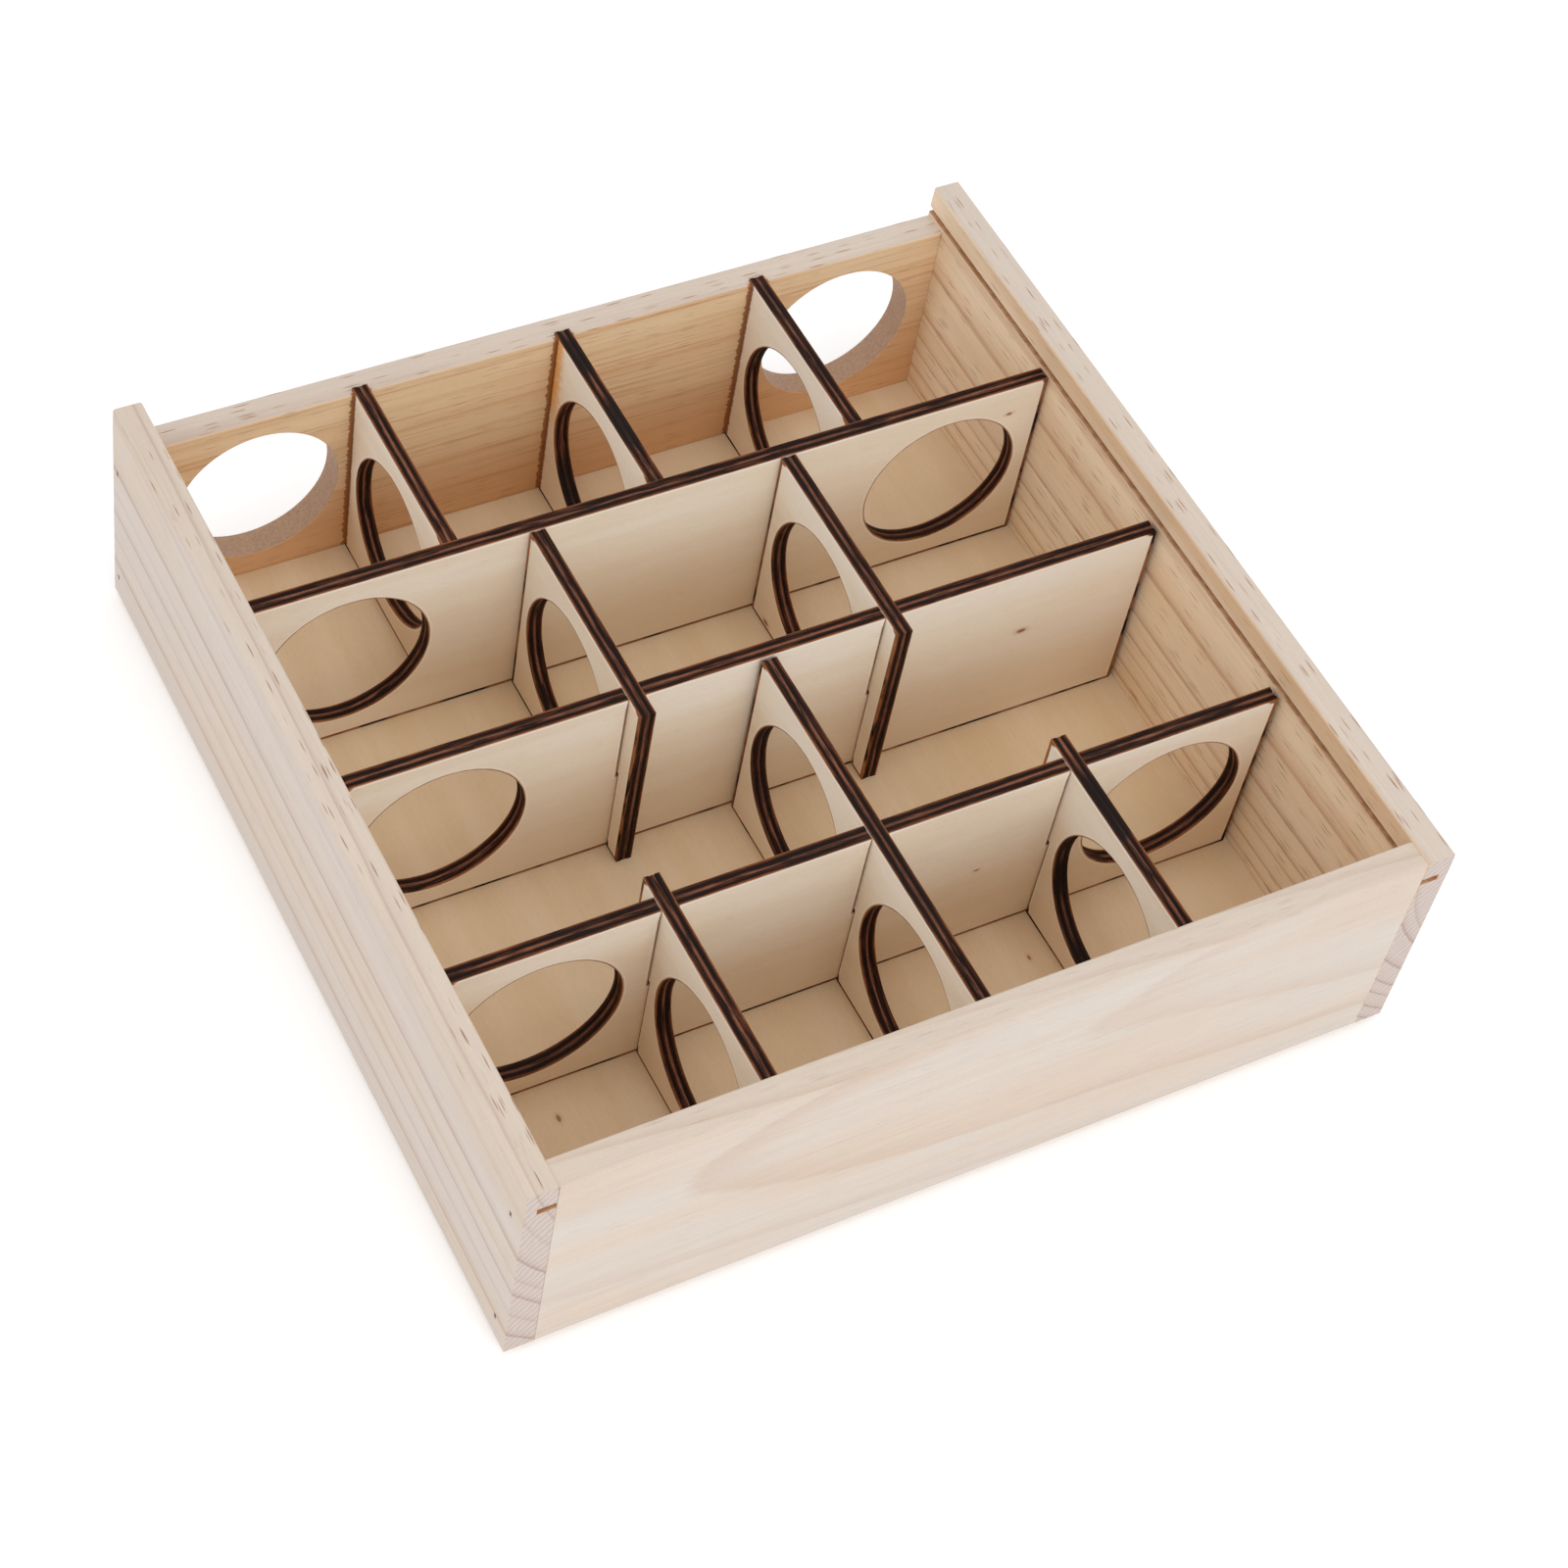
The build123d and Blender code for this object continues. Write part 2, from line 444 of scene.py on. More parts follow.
def border_of(face: Patchwork) -> tuple[np.ndarray, np.ndarray]:
    """The border of a face.

    A side of a square is on the border if no other square has the same side the other way round.
    Each border point moves outwards along the sum S of its two sides' outward normals, by
    2 x S / |S| squared, which keeps both sides parallel to where they were.

    Args:
        face: The flat face.

    Returns:
        The border's sides as pairs of point numbers, and the outward move of every point.
    """
    count = len(face.points)
    sides = np.concatenate([face.squares[:, [k, (k + 1) % 4]] for k in range(4)])
    there = sides[:, 0] * count + sides[:, 1]
    back = sides[:, 1] * count + sides[:, 0]
    sides = sides[~np.isin(there, back)]
    run = face.points[sides[:, 1]] - face.points[sides[:, 0]]
    run /= np.linalg.norm(run, axis=1, keepdims=True)
    outward = np.stack([run[:, 1], -run[:, 0]], axis=1)
    total = np.zeros_like(face.points)
    np.add.at(total, sides[:, 0], outward)
    np.add.at(total, sides[:, 1], outward)
    length = np.maximum((total ** 2).sum(axis=1, keepdims=True), 1e-9)
    return sides, 2 * total / length


def slab_from(face: Patchwork, rim: SandedRim | LaserRim, inset: float, half: float) -> Slab:
    """Gives a flat face its thickness.

    The face stands at +half and its copy at -half. Between them each border point is carried
    through the rim's rings, which joins the two faces into a closed surface.

    Args:
        face: The flat face, drawn back from the true outline by the inset.
        rim: The shape of the edge.
        inset: How far the face is drawn back.
        half: Half the thickness.

    Returns:
        The slab, with its face normals outwards, in (along, up, across) order.
    """
    sides, outward = border_of(face)
    rim_numbers = np.unique(sides)
    place = np.zeros(len(face.points), int)
    place[rim_numbers] = np.arange(len(rim_numbers))
    rings = rim.rings(face.points[rim_numbers], half)
    moved = (inset - rings.inset)[:, :, None] * outward[rim_numbers][None]
    flat = face.points[rim_numbers][None] + moved
    ring_points = np.concatenate([flat, rings.across[:, :, None]], axis=2).reshape(-1, 3)

    count = len(face.points)
    front = np.column_stack([face.points, np.full(count, half)])
    behind = np.column_stack([face.points, np.full(count, -half)])
    points = np.concatenate([front, behind, ring_points])

    ring_count, width = rings.across.shape
    first = 2 * count + np.arange(ring_count)[:, None] * width + place[sides[:, 0]][None]
    second = 2 * count + np.arange(ring_count)[:, None] * width + place[sides[:, 1]][None]
    first = np.concatenate([sides[None, :, 0], first, count + sides[None, :, 0]])
    second = np.concatenate([sides[None, :, 1], second, count + sides[None, :, 1]])
    skirt = np.stack([first[:-1], first[1:], second[1:], second[:-1]], axis=-1).reshape(-1, 4)
    squares = np.concatenate([face.squares, face.squares[:, ::-1] + count, skirt])
    char = np.concatenate([np.zeros(2 * count), rings.char.reshape(-1)])
    return Slab(points, squares, char, points[:, 2] / half)


def stand_up(slab: Slab, run: Run, middle: float) -> np.ndarray:
    """Turns a slab's (along, up, across) points into the box's own axes.

    A piece that runs across the box has its length on X and its front face towards -Y. One that
    runs deep has its length on Y and its front face towards +X.

    Args:
        slab: The slab.
        run: Which way its length runs.
        middle: Where the middle of its thickness stands.

    Returns:
        The points in millimetres.
    """
    along, up, across = slab.points.T
    if run is Run.ACROSS:
        return np.column_stack([along, middle - across, up])
    return np.column_stack([middle + across, along, up])


def make_object(name: str, points: np.ndarray, squares: np.ndarray,
                layers: dict[str, np.ndarray] | None = None) -> bpy.types.Object:
    """Makes a mesh object from points in millimetres.

    Args:
        name: The piece's name.
        points: One row for each point.
        squares: The point numbers of each face, turned outwards.
        layers: Named values to store, one for each point.

    Returns:
        The object, linked to the scene, at the origin.
    """
    mesh = bpy.data.meshes.new(name)
    mesh.from_pydata((points * MM).tolist(), [], squares.tolist())
    for layer, values in (layers or {}).items():
        attribute = mesh.attributes.new(layer, "FLOAT", "POINT")
        attribute.data.foreach_set("value", np.asarray(values, np.float32))
    piece = bpy.data.objects.new(name, mesh)
    bpy.context.scene.collection.objects.link(piece)
    smooth_faces(piece)
    return piece


def smooth_faces(piece: bpy.types.Object) -> None:
    """Shades a piece smooth, with its sharp edges kept sharp.

    Args:
        piece: The piece.
    """
    mesh = piece.data
    mesh.polygons.foreach_set("use_smooth", np.ones(len(mesh.polygons), bool))
    mesh.set_sharp_from_angle(angle=SHARP_ANGLE)
    mesh.update()


def block_mesh(low: np.ndarray, high: np.ndarray) -> tuple[np.ndarray, np.ndarray]:
    """The surface of an upright block, which is only ever cut out of a board.

    Args:
        low: Its lowest corner.
        high: Its highest corner.

    Returns:
        Its points, and the point numbers of its faces, turned outwards.
    """
    corners = np.array([(x, y, z) for x in (0, 1) for y in (0, 1) for z in (0, 1)])
    points = np.where(corners == 1, np.asarray(high), np.asarray(low))
    squares = np.array(
        [(0, 1, 3, 2), (4, 6, 7, 5), (0, 4, 5, 1), (2, 3, 7, 6), (0, 2, 6, 4), (1, 5, 7, 3)]
    )
    return points, squares


def cut_blocks(piece: bpy.types.Object, blocks: list[Block], low: np.ndarray,
               high: np.ndarray) -> None:
    """Cuts blocks out of a board, and leaves the result as the board's own mesh.

    Args:
        piece: The board.
        blocks: The lowest and highest corner of each block.
        low: The board's lowest corner. A block that stays outside the board is left out.
        high: The board's highest corner.
    """
    for cut_low, cut_high in blocks:
        if not (np.all(cut_low < high) and np.all(cut_high > low)):
            continue
        cutter = make_object("cutter", *block_mesh(cut_low, cut_high))
        cut = piece.modifiers.new("cut", "BOOLEAN")
        cut.operation = "DIFFERENCE"
        cut.solver = "EXACT"
        cut.object = cutter
        bpy.context.view_layer.update()
        ready = piece.evaluated_get(bpy.context.evaluated_depsgraph_get())
        result = bpy.data.meshes.new_from_object(ready)
        piece.modifiers.clear()
        spent = piece.data
        piece.data = result
        bpy.data.meshes.remove(spent)
        bpy.data.objects.remove(cutter)
    piece.data.name = piece.name
    smooth_faces(piece)


# ---- finishes --------------------------------------------------------------------------------------


class NodeSheet:
    """Lays out the shader nodes of one finish, working in millimetres."""

    def __init__(self, name: str) -> None:
        """Starts an empty sheet.

        Args:
            name: The material's name.
        """
        self.material = bpy.data.materials.new(name)
        self.material.use_nodes = True
        self.tree = self.material.node_tree
        self.tree.nodes.clear()
        place = self.add("ShaderNodeTexCoord")
        self.place = self.enlarged(place.outputs["Object"], 1 / MM)
        self.normal = place.outputs["Normal"]

    def add(self, kind: str, **settings: object) -> bpy.types.Node:
        """Adds a node.

        Args:
            kind: The kind of node.
            **settings: The node's own options.

        Returns:
            The new node.
        """
        node = self.tree.nodes.new(kind)
        for name, value in settings.items():
            setattr(node, name, value)
        return node

    def join(self, value: Value, socket: Socket) -> None:
        """Feeds a socket from another one, or sets it to a fixed value.

        Args:
            value: The other socket, or the fixed value.
            socket: The socket to feed.
        """
        if isinstance(value, bpy.types.NodeSocket):
            self.tree.links.new(value, socket)
        else:
            socket.default_value = value

    def feed(self, node: bpy.types.Node, *values: Value) -> Socket:
        """Feeds the inputs of a node in their order.

        Args:
            node: The node.
            *values: One value for each input, from the first.

        Returns:
            The node's first output.
        """
        for socket, value in zip(node.inputs, values):
            self.join(value, socket)
        return node.outputs[0]

    def feed_named(self, node: bpy.types.Node, values: dict[str, Value]) -> Socket:
        """Feeds the inputs of a node by their names.

        Args:
            node: The node.
            values: The value of each named input.

        Returns:
            The node's first output.
        """
        for name, value in values.items():
            self.join(value, node.inputs[name])
        return node.outputs[0]

    def math(self, operation: str, a: Value, b: Value = 0.0, c: Value = 0.0) -> Socket:
        """One step of arithmetic on up to three numbers."""
        return self.feed(self.add("ShaderNodeMath", operation=operation), a, b, c)

    def times(self, a: Value, b: Value) -> Socket:
        """The product of two numbers."""
        return self.math("MULTIPLY", a, b)

    def times_plus(self, a: Value, b: Value, c: Value) -> Socket:
        """The product of the first two numbers, plus the third."""
        return self.math("MULTIPLY_ADD", a, b, c)

    def minus(self, a: Value, b: Value) -> Socket:
        """The first number less the second."""
        return self.math("SUBTRACT", a, b)

    def unsigned(self, a: Value) -> Socket:
        """A number without its sign."""
        return self.math("ABSOLUTE", a)

    def parts(self, vector: Socket) -> tuple[Socket, Socket, Socket]:
        """The three parts of a vector.

        Args:
            vector: The vector.

        Returns:
            Its x, y and z.
        """
        node = self.add("ShaderNodeSeparateXYZ")
        self.feed(node, vector)
        return tuple(node.outputs)

    def vector(self, x: Value, y: Value, z: Value) -> Socket:
        """A vector from its three parts."""
        return self.feed(self.add("ShaderNodeCombineXYZ"), x, y, z)

    def scaled(self, vector: Socket, factors: tuple[float, float, float]) -> Socket:
        """A vector stretched by a factor on each axis."""
        return self.feed(self.add("ShaderNodeVectorMath", operation="MULTIPLY"), vector, factors)

    def enlarged(self, vector: Socket, factor: Value) -> Socket:
        """A vector or colour times one number."""
        node = self.add("ShaderNodeVectorMath", operation="SCALE")
        return self.feed_named(node, {"Vector": vector, "Scale": factor})

    def smooth(self, value: Value, low: float, high: float) -> Socket:
        """A soft step, which rises with the value, or falls if low is the larger end.

        Args:
            value: The value.
            low: Where the step is 0.
            high: Where the step is 1.

        Returns:
            The step, from 0 to 1.
        """
        ends = (high, low, 1.0, 0.0) if low > high else (low, high, 0.0, 1.0)
        node = self.add("ShaderNodeMapRange", interpolation_type="SMOOTHSTEP")
        return self.feed(node, value, *ends)

    def span(self, value: Socket, low: float, high: float, soft: float) -> Socket:
        """A band between two values.

        Args:
            value: The value.
            low: The lower end of the band.
            high: The upper end.
            soft: Half the width of each soft edge.

        Returns:
            1 in the band and 0 outside it.
        """
        rise = self.smooth(value, low - soft, low + soft)
        fall = self.smooth(value, high + soft, high - soft)
        return self.times(rise, fall)

    def noise(self, vector: Socket, detail: float = 2.0, roughness: float = 0.5) -> Socket:
        """Soft noise about one unit across.

        Args:
            vector: Where to read the noise.
            detail: How many finer layers it has.
            roughness: How strong the finer layers are.

        Returns:
            The noise, from 0 to 1.
        """
        node = self.add("ShaderNodeTexNoise")
        inputs = {"Vector": vector, "Scale": 1.0, "Detail": detail, "Roughness": roughness}
        return self.feed_named(node, inputs)

    def mottle(self, rate: float, detail: float = 2.0, roughness: float = 0.5) -> Socket:
        """Noise that is alike on all axes, with that many waves to a millimetre."""
        return self.noise(self.scaled(self.place, (rate,) * 3), detail, roughness)

    def flecks(self, vector: Socket, size: float, share: float) -> Socket:
        """Scattered flecks.

        Cells one unit across each hold one point. A fleck is the room within size of the point, in
        the share of cells whose random value is the highest.

        Args:
            vector: Where to read the flecks.
            size: How far a fleck reaches.
            share: The share of cells that hold a fleck.

        Returns:
            1 inside a fleck and 0 outside.
        """
        node = self.add("ShaderNodeTexVoronoi")
        self.feed_named(node, {"Vector": vector, "Scale": 1.0})
        near = self.smooth(node.outputs["Distance"], size, size * 0.45)
        red, _, _ = self.parts(node.outputs["Color"])
        return self.times(near, self.smooth(red, 1 - share, 1 - share * 0.6))

    def ramp(self, value: Socket, stops: list[tuple[float, Colour]]) -> Socket:
        """A colour that runs through stops.

        Args:
            value: The value, from 0 to 1.
            stops: Places from 0 to 1, each with its colour.

        Returns:
            The colour at the value.
        """
        node = self.add("ShaderNodeValToRGB")
        elements = node.color_ramp.elements
        for place, colour in stops[1:-1]:
            elements.new(place).color = colour
        elements[0].position, elements[0].color = stops[0]
        elements[-1].position, elements[-1].color = stops[-1]
        return self.feed(node, value)

    def blend(self, share: Value, under: Value, over: Value) -> Socket:
        """Lays one colour over another.

        Args:
            share: How much of the upper colour shows.
            under: The lower colour.
            over: The upper colour.

        Returns:
            The blended colour.
        """
        node = self.add("ShaderNodeMix", data_type="RGBA")
        for socket, value in zip((node.inputs[0], *node.inputs[6:8]), (share, under, over)):
            self.join(value, socket)
        return node.outputs[2]

    def shade(self, colour: Socket, value: Socket, dark: float, light: float) -> Socket:
        """Multiplies a colour by a brightness.

        Args:
            colour: The colour.
            value: The value that sets the brightness, from 0 to 1.
            dark: The brightness at 0.
            light: The brightness at 1.

        Returns:
            The shaded colour.
        """
        level = self.feed(self.add("ShaderNodeMapRange"), value, 0.0, 1.0, dark, light)
        return self.enlarged(colour, level)

    def attribute(self, name: str) -> Socket:
        """A named value stored on the piece's points."""
        return self.add("ShaderNodeAttribute", attribute_name=name).outputs["Fac"]

    def finish(self, colour: Socket, roughness: Value, height: Socket, depth: float,
               metallic: float = 0.0, gloss: float = 0.35,
               glow: float = 0.0) -> bpy.types.Material:
        """Ends the sheet in a surface shader.

        Args:
            colour: The surface colour.
            roughness: From 0, polished, to 1, matt.
            height: The relief, from 0 to 1.
            depth: How deep the relief is, in millimetres.
            metallic: 1 for bare metal.
            gloss: The level of the mirror part of the reflection.
            glow: White light given off, for the studio's backlit paper.

        Returns:
            The finished material.
        """
        relief = self.feed_named(self.add("ShaderNodeBump"),
                                 {"Distance": depth * MM, "Height": height})
        surface = self.feed_named(self.add("ShaderNodeBsdfPrincipled"), {
            "Base Color": colour,
            "Roughness": roughness,
            "Metallic": metallic,
            "Specular IOR Level": gloss,
            "Emission Color": WHITE,
            "Emission Strength": glow,
            "Normal": relief,
        })
        self.join(surface, self.add("ShaderNodeOutputMaterial").inputs[0])
        return self.material


class BoardSheet(NodeSheet):
    """The node sheet of a board, with the way along it, across its thickness and up."""

    def __init__(self, name: str, run: Run) -> None:
        """Starts an empty sheet.

        Args:
            name: The material's name.
            run: Which way the board runs.
        """
        super().__init__(name)
        x, y, self.up = self.parts(self.place)
        self.along, self.across = (x, y) if run is Run.ACROSS else (y, x)

    def grain(self, lengthways: float, sideways: float) -> Socket:
        """The place on the board, squeezed so that noise on it runs with the grain."""
        return self.vector(self.times(self.along, lengthways), self.times(self.across, sideways),
                           self.times(self.up, sideways))


@dataclass(frozen=True)
class Ring:
    """A growth ring: its radius about the heart of the tree, its strength, and its soft side."""

    radius: float
    strength: float = 1.0
    fade: float = 3.0

    def profile(self) -> tuple[tuple[float, float], ...]:
        """Radius and strength where the ring starts, thickens, is full and has dropped off."""
        return ((self.radius - self.fade, 0.0),
                (self.radius - self.fade * 0.35, self.strength * 0.22),
                (self.radius, self.strength), (self.radius + 0.35, 0.0))


@dataclass(frozen=True)
class PineFigure:
    """What the wood is like at a point, as sockets from 0 to 1."""

    inside: Socket
    on_top: Socket
    late: Socket
    fibre: Socket
    ducts: Socket
    fuzz: Socket


@dataclass(frozen=True)
class PineFinish:
    """Sanded pine sawn from a log, so that the rings on its faces meet those on its ends.

    The heart is where the middle of the tree would stand, as (across the board, height), and the
    drift is how far it wanders for each millimetre along the board. The waver is how far the rings
    stray, and the fray how ragged they are, in millimetres. The groove is its lowest and highest
    height and how far out its bottom lies. A wall's top starts in the rim zone, between two heights.
    """

    name: str
    run: Run
    heart: tuple[float, float]
    rings: tuple[Ring, ...]
    inner_half: float
    groove: tuple[float, float, float] | None = None
    housings: tuple[float, ...] = ()
    drift: tuple[float, float] = (0.0, 0.0)
    waver: float = 2.0
    fray: float = 0.9
    rim_zone: tuple[float, float] = (66.5, 69.0)
    # The outer tones (pale, creamy, late) and the inner ones (warm, warm_deep, inner_late) are one
    # pine painted for the light: pale and greyish where the outside is lit, warmer and brighter
    # inside for the warm bounce light in the shaded rooms. The top tone is likewise painted for the
    # light on top.
    pale: str = "d0c2b8"
    creamy: str = "d1bfad"
    top: str = "dbc9b7"
    late: str = "ae8d79"
    inner_late: str = "c8906a"
    warm: str = "eed6b8"
    warm_deep: str = "e5c6a1"
    sawn: str = "baaaa2"
    end_ring: str = "94776a"
    resin: str = "96592f"
    rim: str = "baaaa2"
    lip: str = "dfb88d"
    groove_light: str = "d9a97c"
    groove_dark: str = "c0895f"
    glue: str = "94531a"
    lip_height: float | None = None
    heartwood: str | None = None
    ring_share: float = 0.75
    inner_ring_share: float = 0.62
    hairlines: float = 0.08
    end_ring_share: float = 0.8
    saw_strokes: float = 0.22
    fuzziness: float = 0.5
    outside_ticks: float = 0.1
    inside_ticks: float = 0.6
    top_ticks: float = 0.8

    def make(self) -> bpy.types.Material:
        """Makes the material.

        Returns:
            The pine, with its planed and sawn faces, its stains and its relief.
        """
        sheet = BoardSheet(self.name, self.run)
        normal = sheet.parts(sheet.normal)
        depth_in = sheet.unsigned(sheet.across)
        figure = PineFigure(
            inside=sheet.smooth(depth_in, self.inner_half + 0.5, self.inner_half + 0.12),
            on_top=sheet.times(sheet.smooth(normal[2], 0.4, 0.75),
                               sheet.smooth(sheet.up, *self.rim_zone)),
            late=self.late_wood(sheet),
            fibre=sheet.noise(sheet.grain(0.05, 1.5), 3.0, 0.6),
            ducts=sheet.flecks(sheet.grain(0.09, 1.5), 0.34, 0.4),
            fuzz=sheet.noise(sheet.grain(1.1, 1.1), 4.0, 0.7),
        )
        end_grain = sheet.smooth(sheet.unsigned(normal[self.run.value]), 0.55, 0.9)
        below_rim = sheet.smooth(sheet.up, *self.rim_zone[::-1])
        turned = sheet.smooth(sheet.unsigned(normal[1 - self.run.value]), 0.7, 0.3)
        cut_face = sheet.times(turned, below_rim)
        sawn = sheet.math("MAXIMUM", end_grain, cut_face)

        wood = self.planed(sheet, figure)
        bare = self.sawn_wood(sheet, figure, cut_face)
        wood = sheet.blend(sheet.times(sawn, 0.9), wood, bare)
        wood = self.lip_colour(sheet, figure, wood)
        wood = self.groove_colour(sheet, depth_in, wood)
        wood = self.glue_stains(sheet, wood)

        relief = sheet.times_plus(figure.fibre, 0.55, 0.2)
        relief = sheet.times_plus(figure.ducts, -0.35, relief)
        relief = sheet.times_plus(figure.late, 0.12, relief)
        relief = sheet.times_plus(sheet.times(figure.fuzz, sawn), 0.5, relief)
        roughness = sheet.times_plus(figure.fibre, 0.2, 0.5)
        return sheet.finish(wood, roughness, relief, 0.18, gloss=0.25)

    def late_wood(self, sheet: BoardSheet) -> Socket:
        """How much late wood there is at a point.

        The distance from the heart, plus a slow waver, runs through a ramp that climbs slowly
        towards each ring and drops at once behind it.

        Args:
            sheet: The board's sheet.

        Returns:
            The share of late wood.
        """
        off_across = sheet.minus(sheet.across, self.heart[0])
        off_across = sheet.times_plus(sheet.along, -self.drift[0], off_across)
        off_up = sheet.minus(sheet.up, self.heart[1])
        off_up = sheet.times_plus(sheet.along, -self.drift[1], off_up)
        squares = sheet.times_plus(off_up, off_up, sheet.times(off_across, off_across))
        distance = sheet.math("SQRT", squares)
        slow = sheet.noise(sheet.grain(0.007, 0.02), 1.0)
        distance = sheet.times_plus(sheet.minus(slow, 0.5), self.waver, distance)
        frayed = sheet.noise(sheet.grain(0.03, 0.8))
        distance = sheet.times_plus(sheet.minus(frayed, 0.5), self.fray, distance)
        first = self.rings[0].radius - self.rings[0].fade - 1
        reach = self.rings[-1].radius + 1 - first
        stops = [(0.0, grey(0.0))]
        for ring in self.rings:
            stops += [((radius - first) / reach, grey(level)) for radius, level in ring.profile()]
        share = sheet.math("DIVIDE", sheet.minus(distance, first), reach)
        level, _, _ = sheet.parts(sheet.ramp(share, stops))
        return level

    def planed(self, sheet: BoardSheet, figure: PineFigure) -> Socket:
        """The colour of the sanded faces, with painted light and shade: the one pine is pale outside
        where the light falls, warmer and brighter inside for the warm bounce light in the shaded
        rooms, and has its own tone on top for the light there.

        Args:
            sheet: The board's sheet.
            figure: What the wood is like.

        Returns:
            The colour, with rings, fine lines, streaks, dust and resin ducts.
        """
        inside, on_top = figure.inside, figure.on_top
        tone = sheet.noise(sheet.grain(0.006, 0.045), 3.0)
        streak = sheet.noise(sheet.grain(0.012, 0.35))
        hairline = sheet.smooth(sheet.noise(sheet.grain(0.014, 0.95)), 0.56, 0.72)
        outer = sheet.blend(sheet.smooth(tone, 0.4, 0.66), tint(self.pale), tint(self.creamy))
        inner = sheet.blend(sheet.smooth(tone, 0.35, 0.7), tint(self.warm), tint(self.warm_deep))
        if self.heartwood is not None:
            height = sheet.times_plus(tone, 30.0, sheet.up)
            darker = sheet.times(sheet.smooth(height, 62.0, 26.0), 0.8)
            inner = sheet.blend(darker, inner, tint(self.heartwood))
        # Painted light and shade: inner faces take the warm inner tones, outer faces the pale ones.
        wood = sheet.blend(inside, outer, inner)
        # Painted light: the top faces get their own tone, set for the light that falls on them.
        wood = sheet.blend(sheet.times(on_top, 0.7), wood, tint(self.top))
        dark = sheet.blend(inside, tint(self.late), tint(self.inner_late))
        share = sheet.times_plus(inside, self.inner_ring_share - self.ring_share, self.ring_share)
        wood = sheet.blend(sheet.times(figure.late, share), wood, dark)
        hairline = sheet.times(hairline, sheet.times_plus(inside, self.hairlines, 0.16))
        wood = sheet.blend(hairline, wood, dark)
        wood = sheet.shade(wood, streak, 0.92, 1.06)
        wood = sheet.shade(wood, figure.fibre, 0.89, 1.08)
        wood = sheet.shade(wood, sheet.mottle(0.8), 0.96, 1.04)
        ticks = sheet.times_plus(on_top, self.top_ticks - self.outside_ticks, self.outside_ticks)
        ticks = sheet.times_plus(inside, self.inside_ticks, ticks)
        return sheet.blend(sheet.times(figure.ducts, ticks), wood, tint(self.resin))

    def sawn_wood(self, sheet: BoardSheet, figure: PineFigure, cut_face: Socket) -> Socket:
        """The colour of end grain and of the doors' rims, with the strokes of a saw.

        Args:
            sheet: The board's sheet.
            figure: What the wood is like.
            cut_face: 1 on a rim that is cut through the board.

        Returns:
            The colour, with strokes that slope down across the board.
        """
        slope = sheet.times_plus(sheet.across, -0.75, sheet.times(sheet.up, 0.65))
        slope = sheet.times_plus(sheet.mottle(0.15), 3.0, slope)
        stroke = sheet.math("SINE", sheet.times(slope, 3.0))
        stroke = sheet.times_plus(stroke, self.saw_strokes, 0.75 - self.fuzziness / 2)
        saw_marks = sheet.times_plus(figure.fuzz, self.fuzziness, stroke)
        bare = sheet.blend(cut_face, tint(self.sawn), tint(self.rim))
        rings = sheet.times(figure.late, self.end_ring_share)
        bare = sheet.blend(rings, bare, tint(self.end_ring))
        return sheet.shade(bare, saw_marks, 0.64, 1.21)

    def lip_colour(self, sheet: BoardSheet, figure: PineFigure, wood: Socket) -> Socket:
        """Adds a tan band along the inner face of the lip above the groove.

        Args:
            sheet: The board's sheet.
            figure: What the wood is like.
            wood: The colour so far.

        Returns:
            The colour, with the band, which fades out at the back.
        """
        if self.lip_height is None:
            return wood
        edge = sheet.times_plus(sheet.along, 0.012, self.lip_height)
        above = sheet.smooth(sheet.minus(sheet.up, edge), -0.4, 0.4)
        band = sheet.times(above, sheet.smooth(sheet.along, 118.0, 70.0))
        band = sheet.times(band, figure.inside)
        return sheet.blend(sheet.times(band, 0.5), wood, tint(self.lip))

    def groove_colour(self, sheet: BoardSheet, depth_in: Socket, wood: Socket) -> Socket:
        """Darkens the saw-burnt walls of the cover groove.

        Args:
            sheet: The board's sheet.
            depth_in: How far from the middle of the box the point is.
            wood: The colour so far.

        Returns:
            The colour, with the burn.
        """
        if self.groove is None:
            return wood
        low, high, deep = self.groove
        in_height = sheet.span(sheet.up, low - 0.03, high + 0.03, 0.03)
        in_depth = sheet.smooth(depth_in, deep + 0.3, deep + 0.1)
        patchy = sheet.smooth(sheet.mottle(0.3), 0.4, 0.62)
        burn = sheet.blend(patchy, tint(self.groove_light), tint(self.groove_dark))
        return sheet.blend(sheet.times(in_height, in_depth), wood, burn)

    def glue_stains(self, sheet: BoardSheet, wood: Socket) -> Socket:
        """Adds glue and scorch stains beside each housing, broken up along its height.

        Args:
            sheet: The board's sheet.
            wood: The colour so far.

        Returns:
            The colour, with the stains.
        """
        inner_side = sheet.smooth(sheet.unsigned(sheet.across), self.inner_half + 1.2,
                                  self.inner_half + 0.6)
        for place in self.housings:
            off = sheet.unsigned(sheet.minus(sheet.along, place))
            wander = sheet.noise(sheet.vector(place, 0.0, sheet.times(sheet.up, 0.8)), 3.0)
            off = sheet.times_plus(wander, -3.2, off)
            stain = sheet.times(sheet.smooth(off, 2.2, 1.7), inner_side)
            wood = sheet.blend(sheet.times(stain, 0.9), wood, tint(self.glue))
        return wood


@dataclass(frozen=True)
class Knot:
    """A pin knot in a veneer: where it is, and its radius."""

    place: tuple[float, float, float]
    radius: float = 1.0


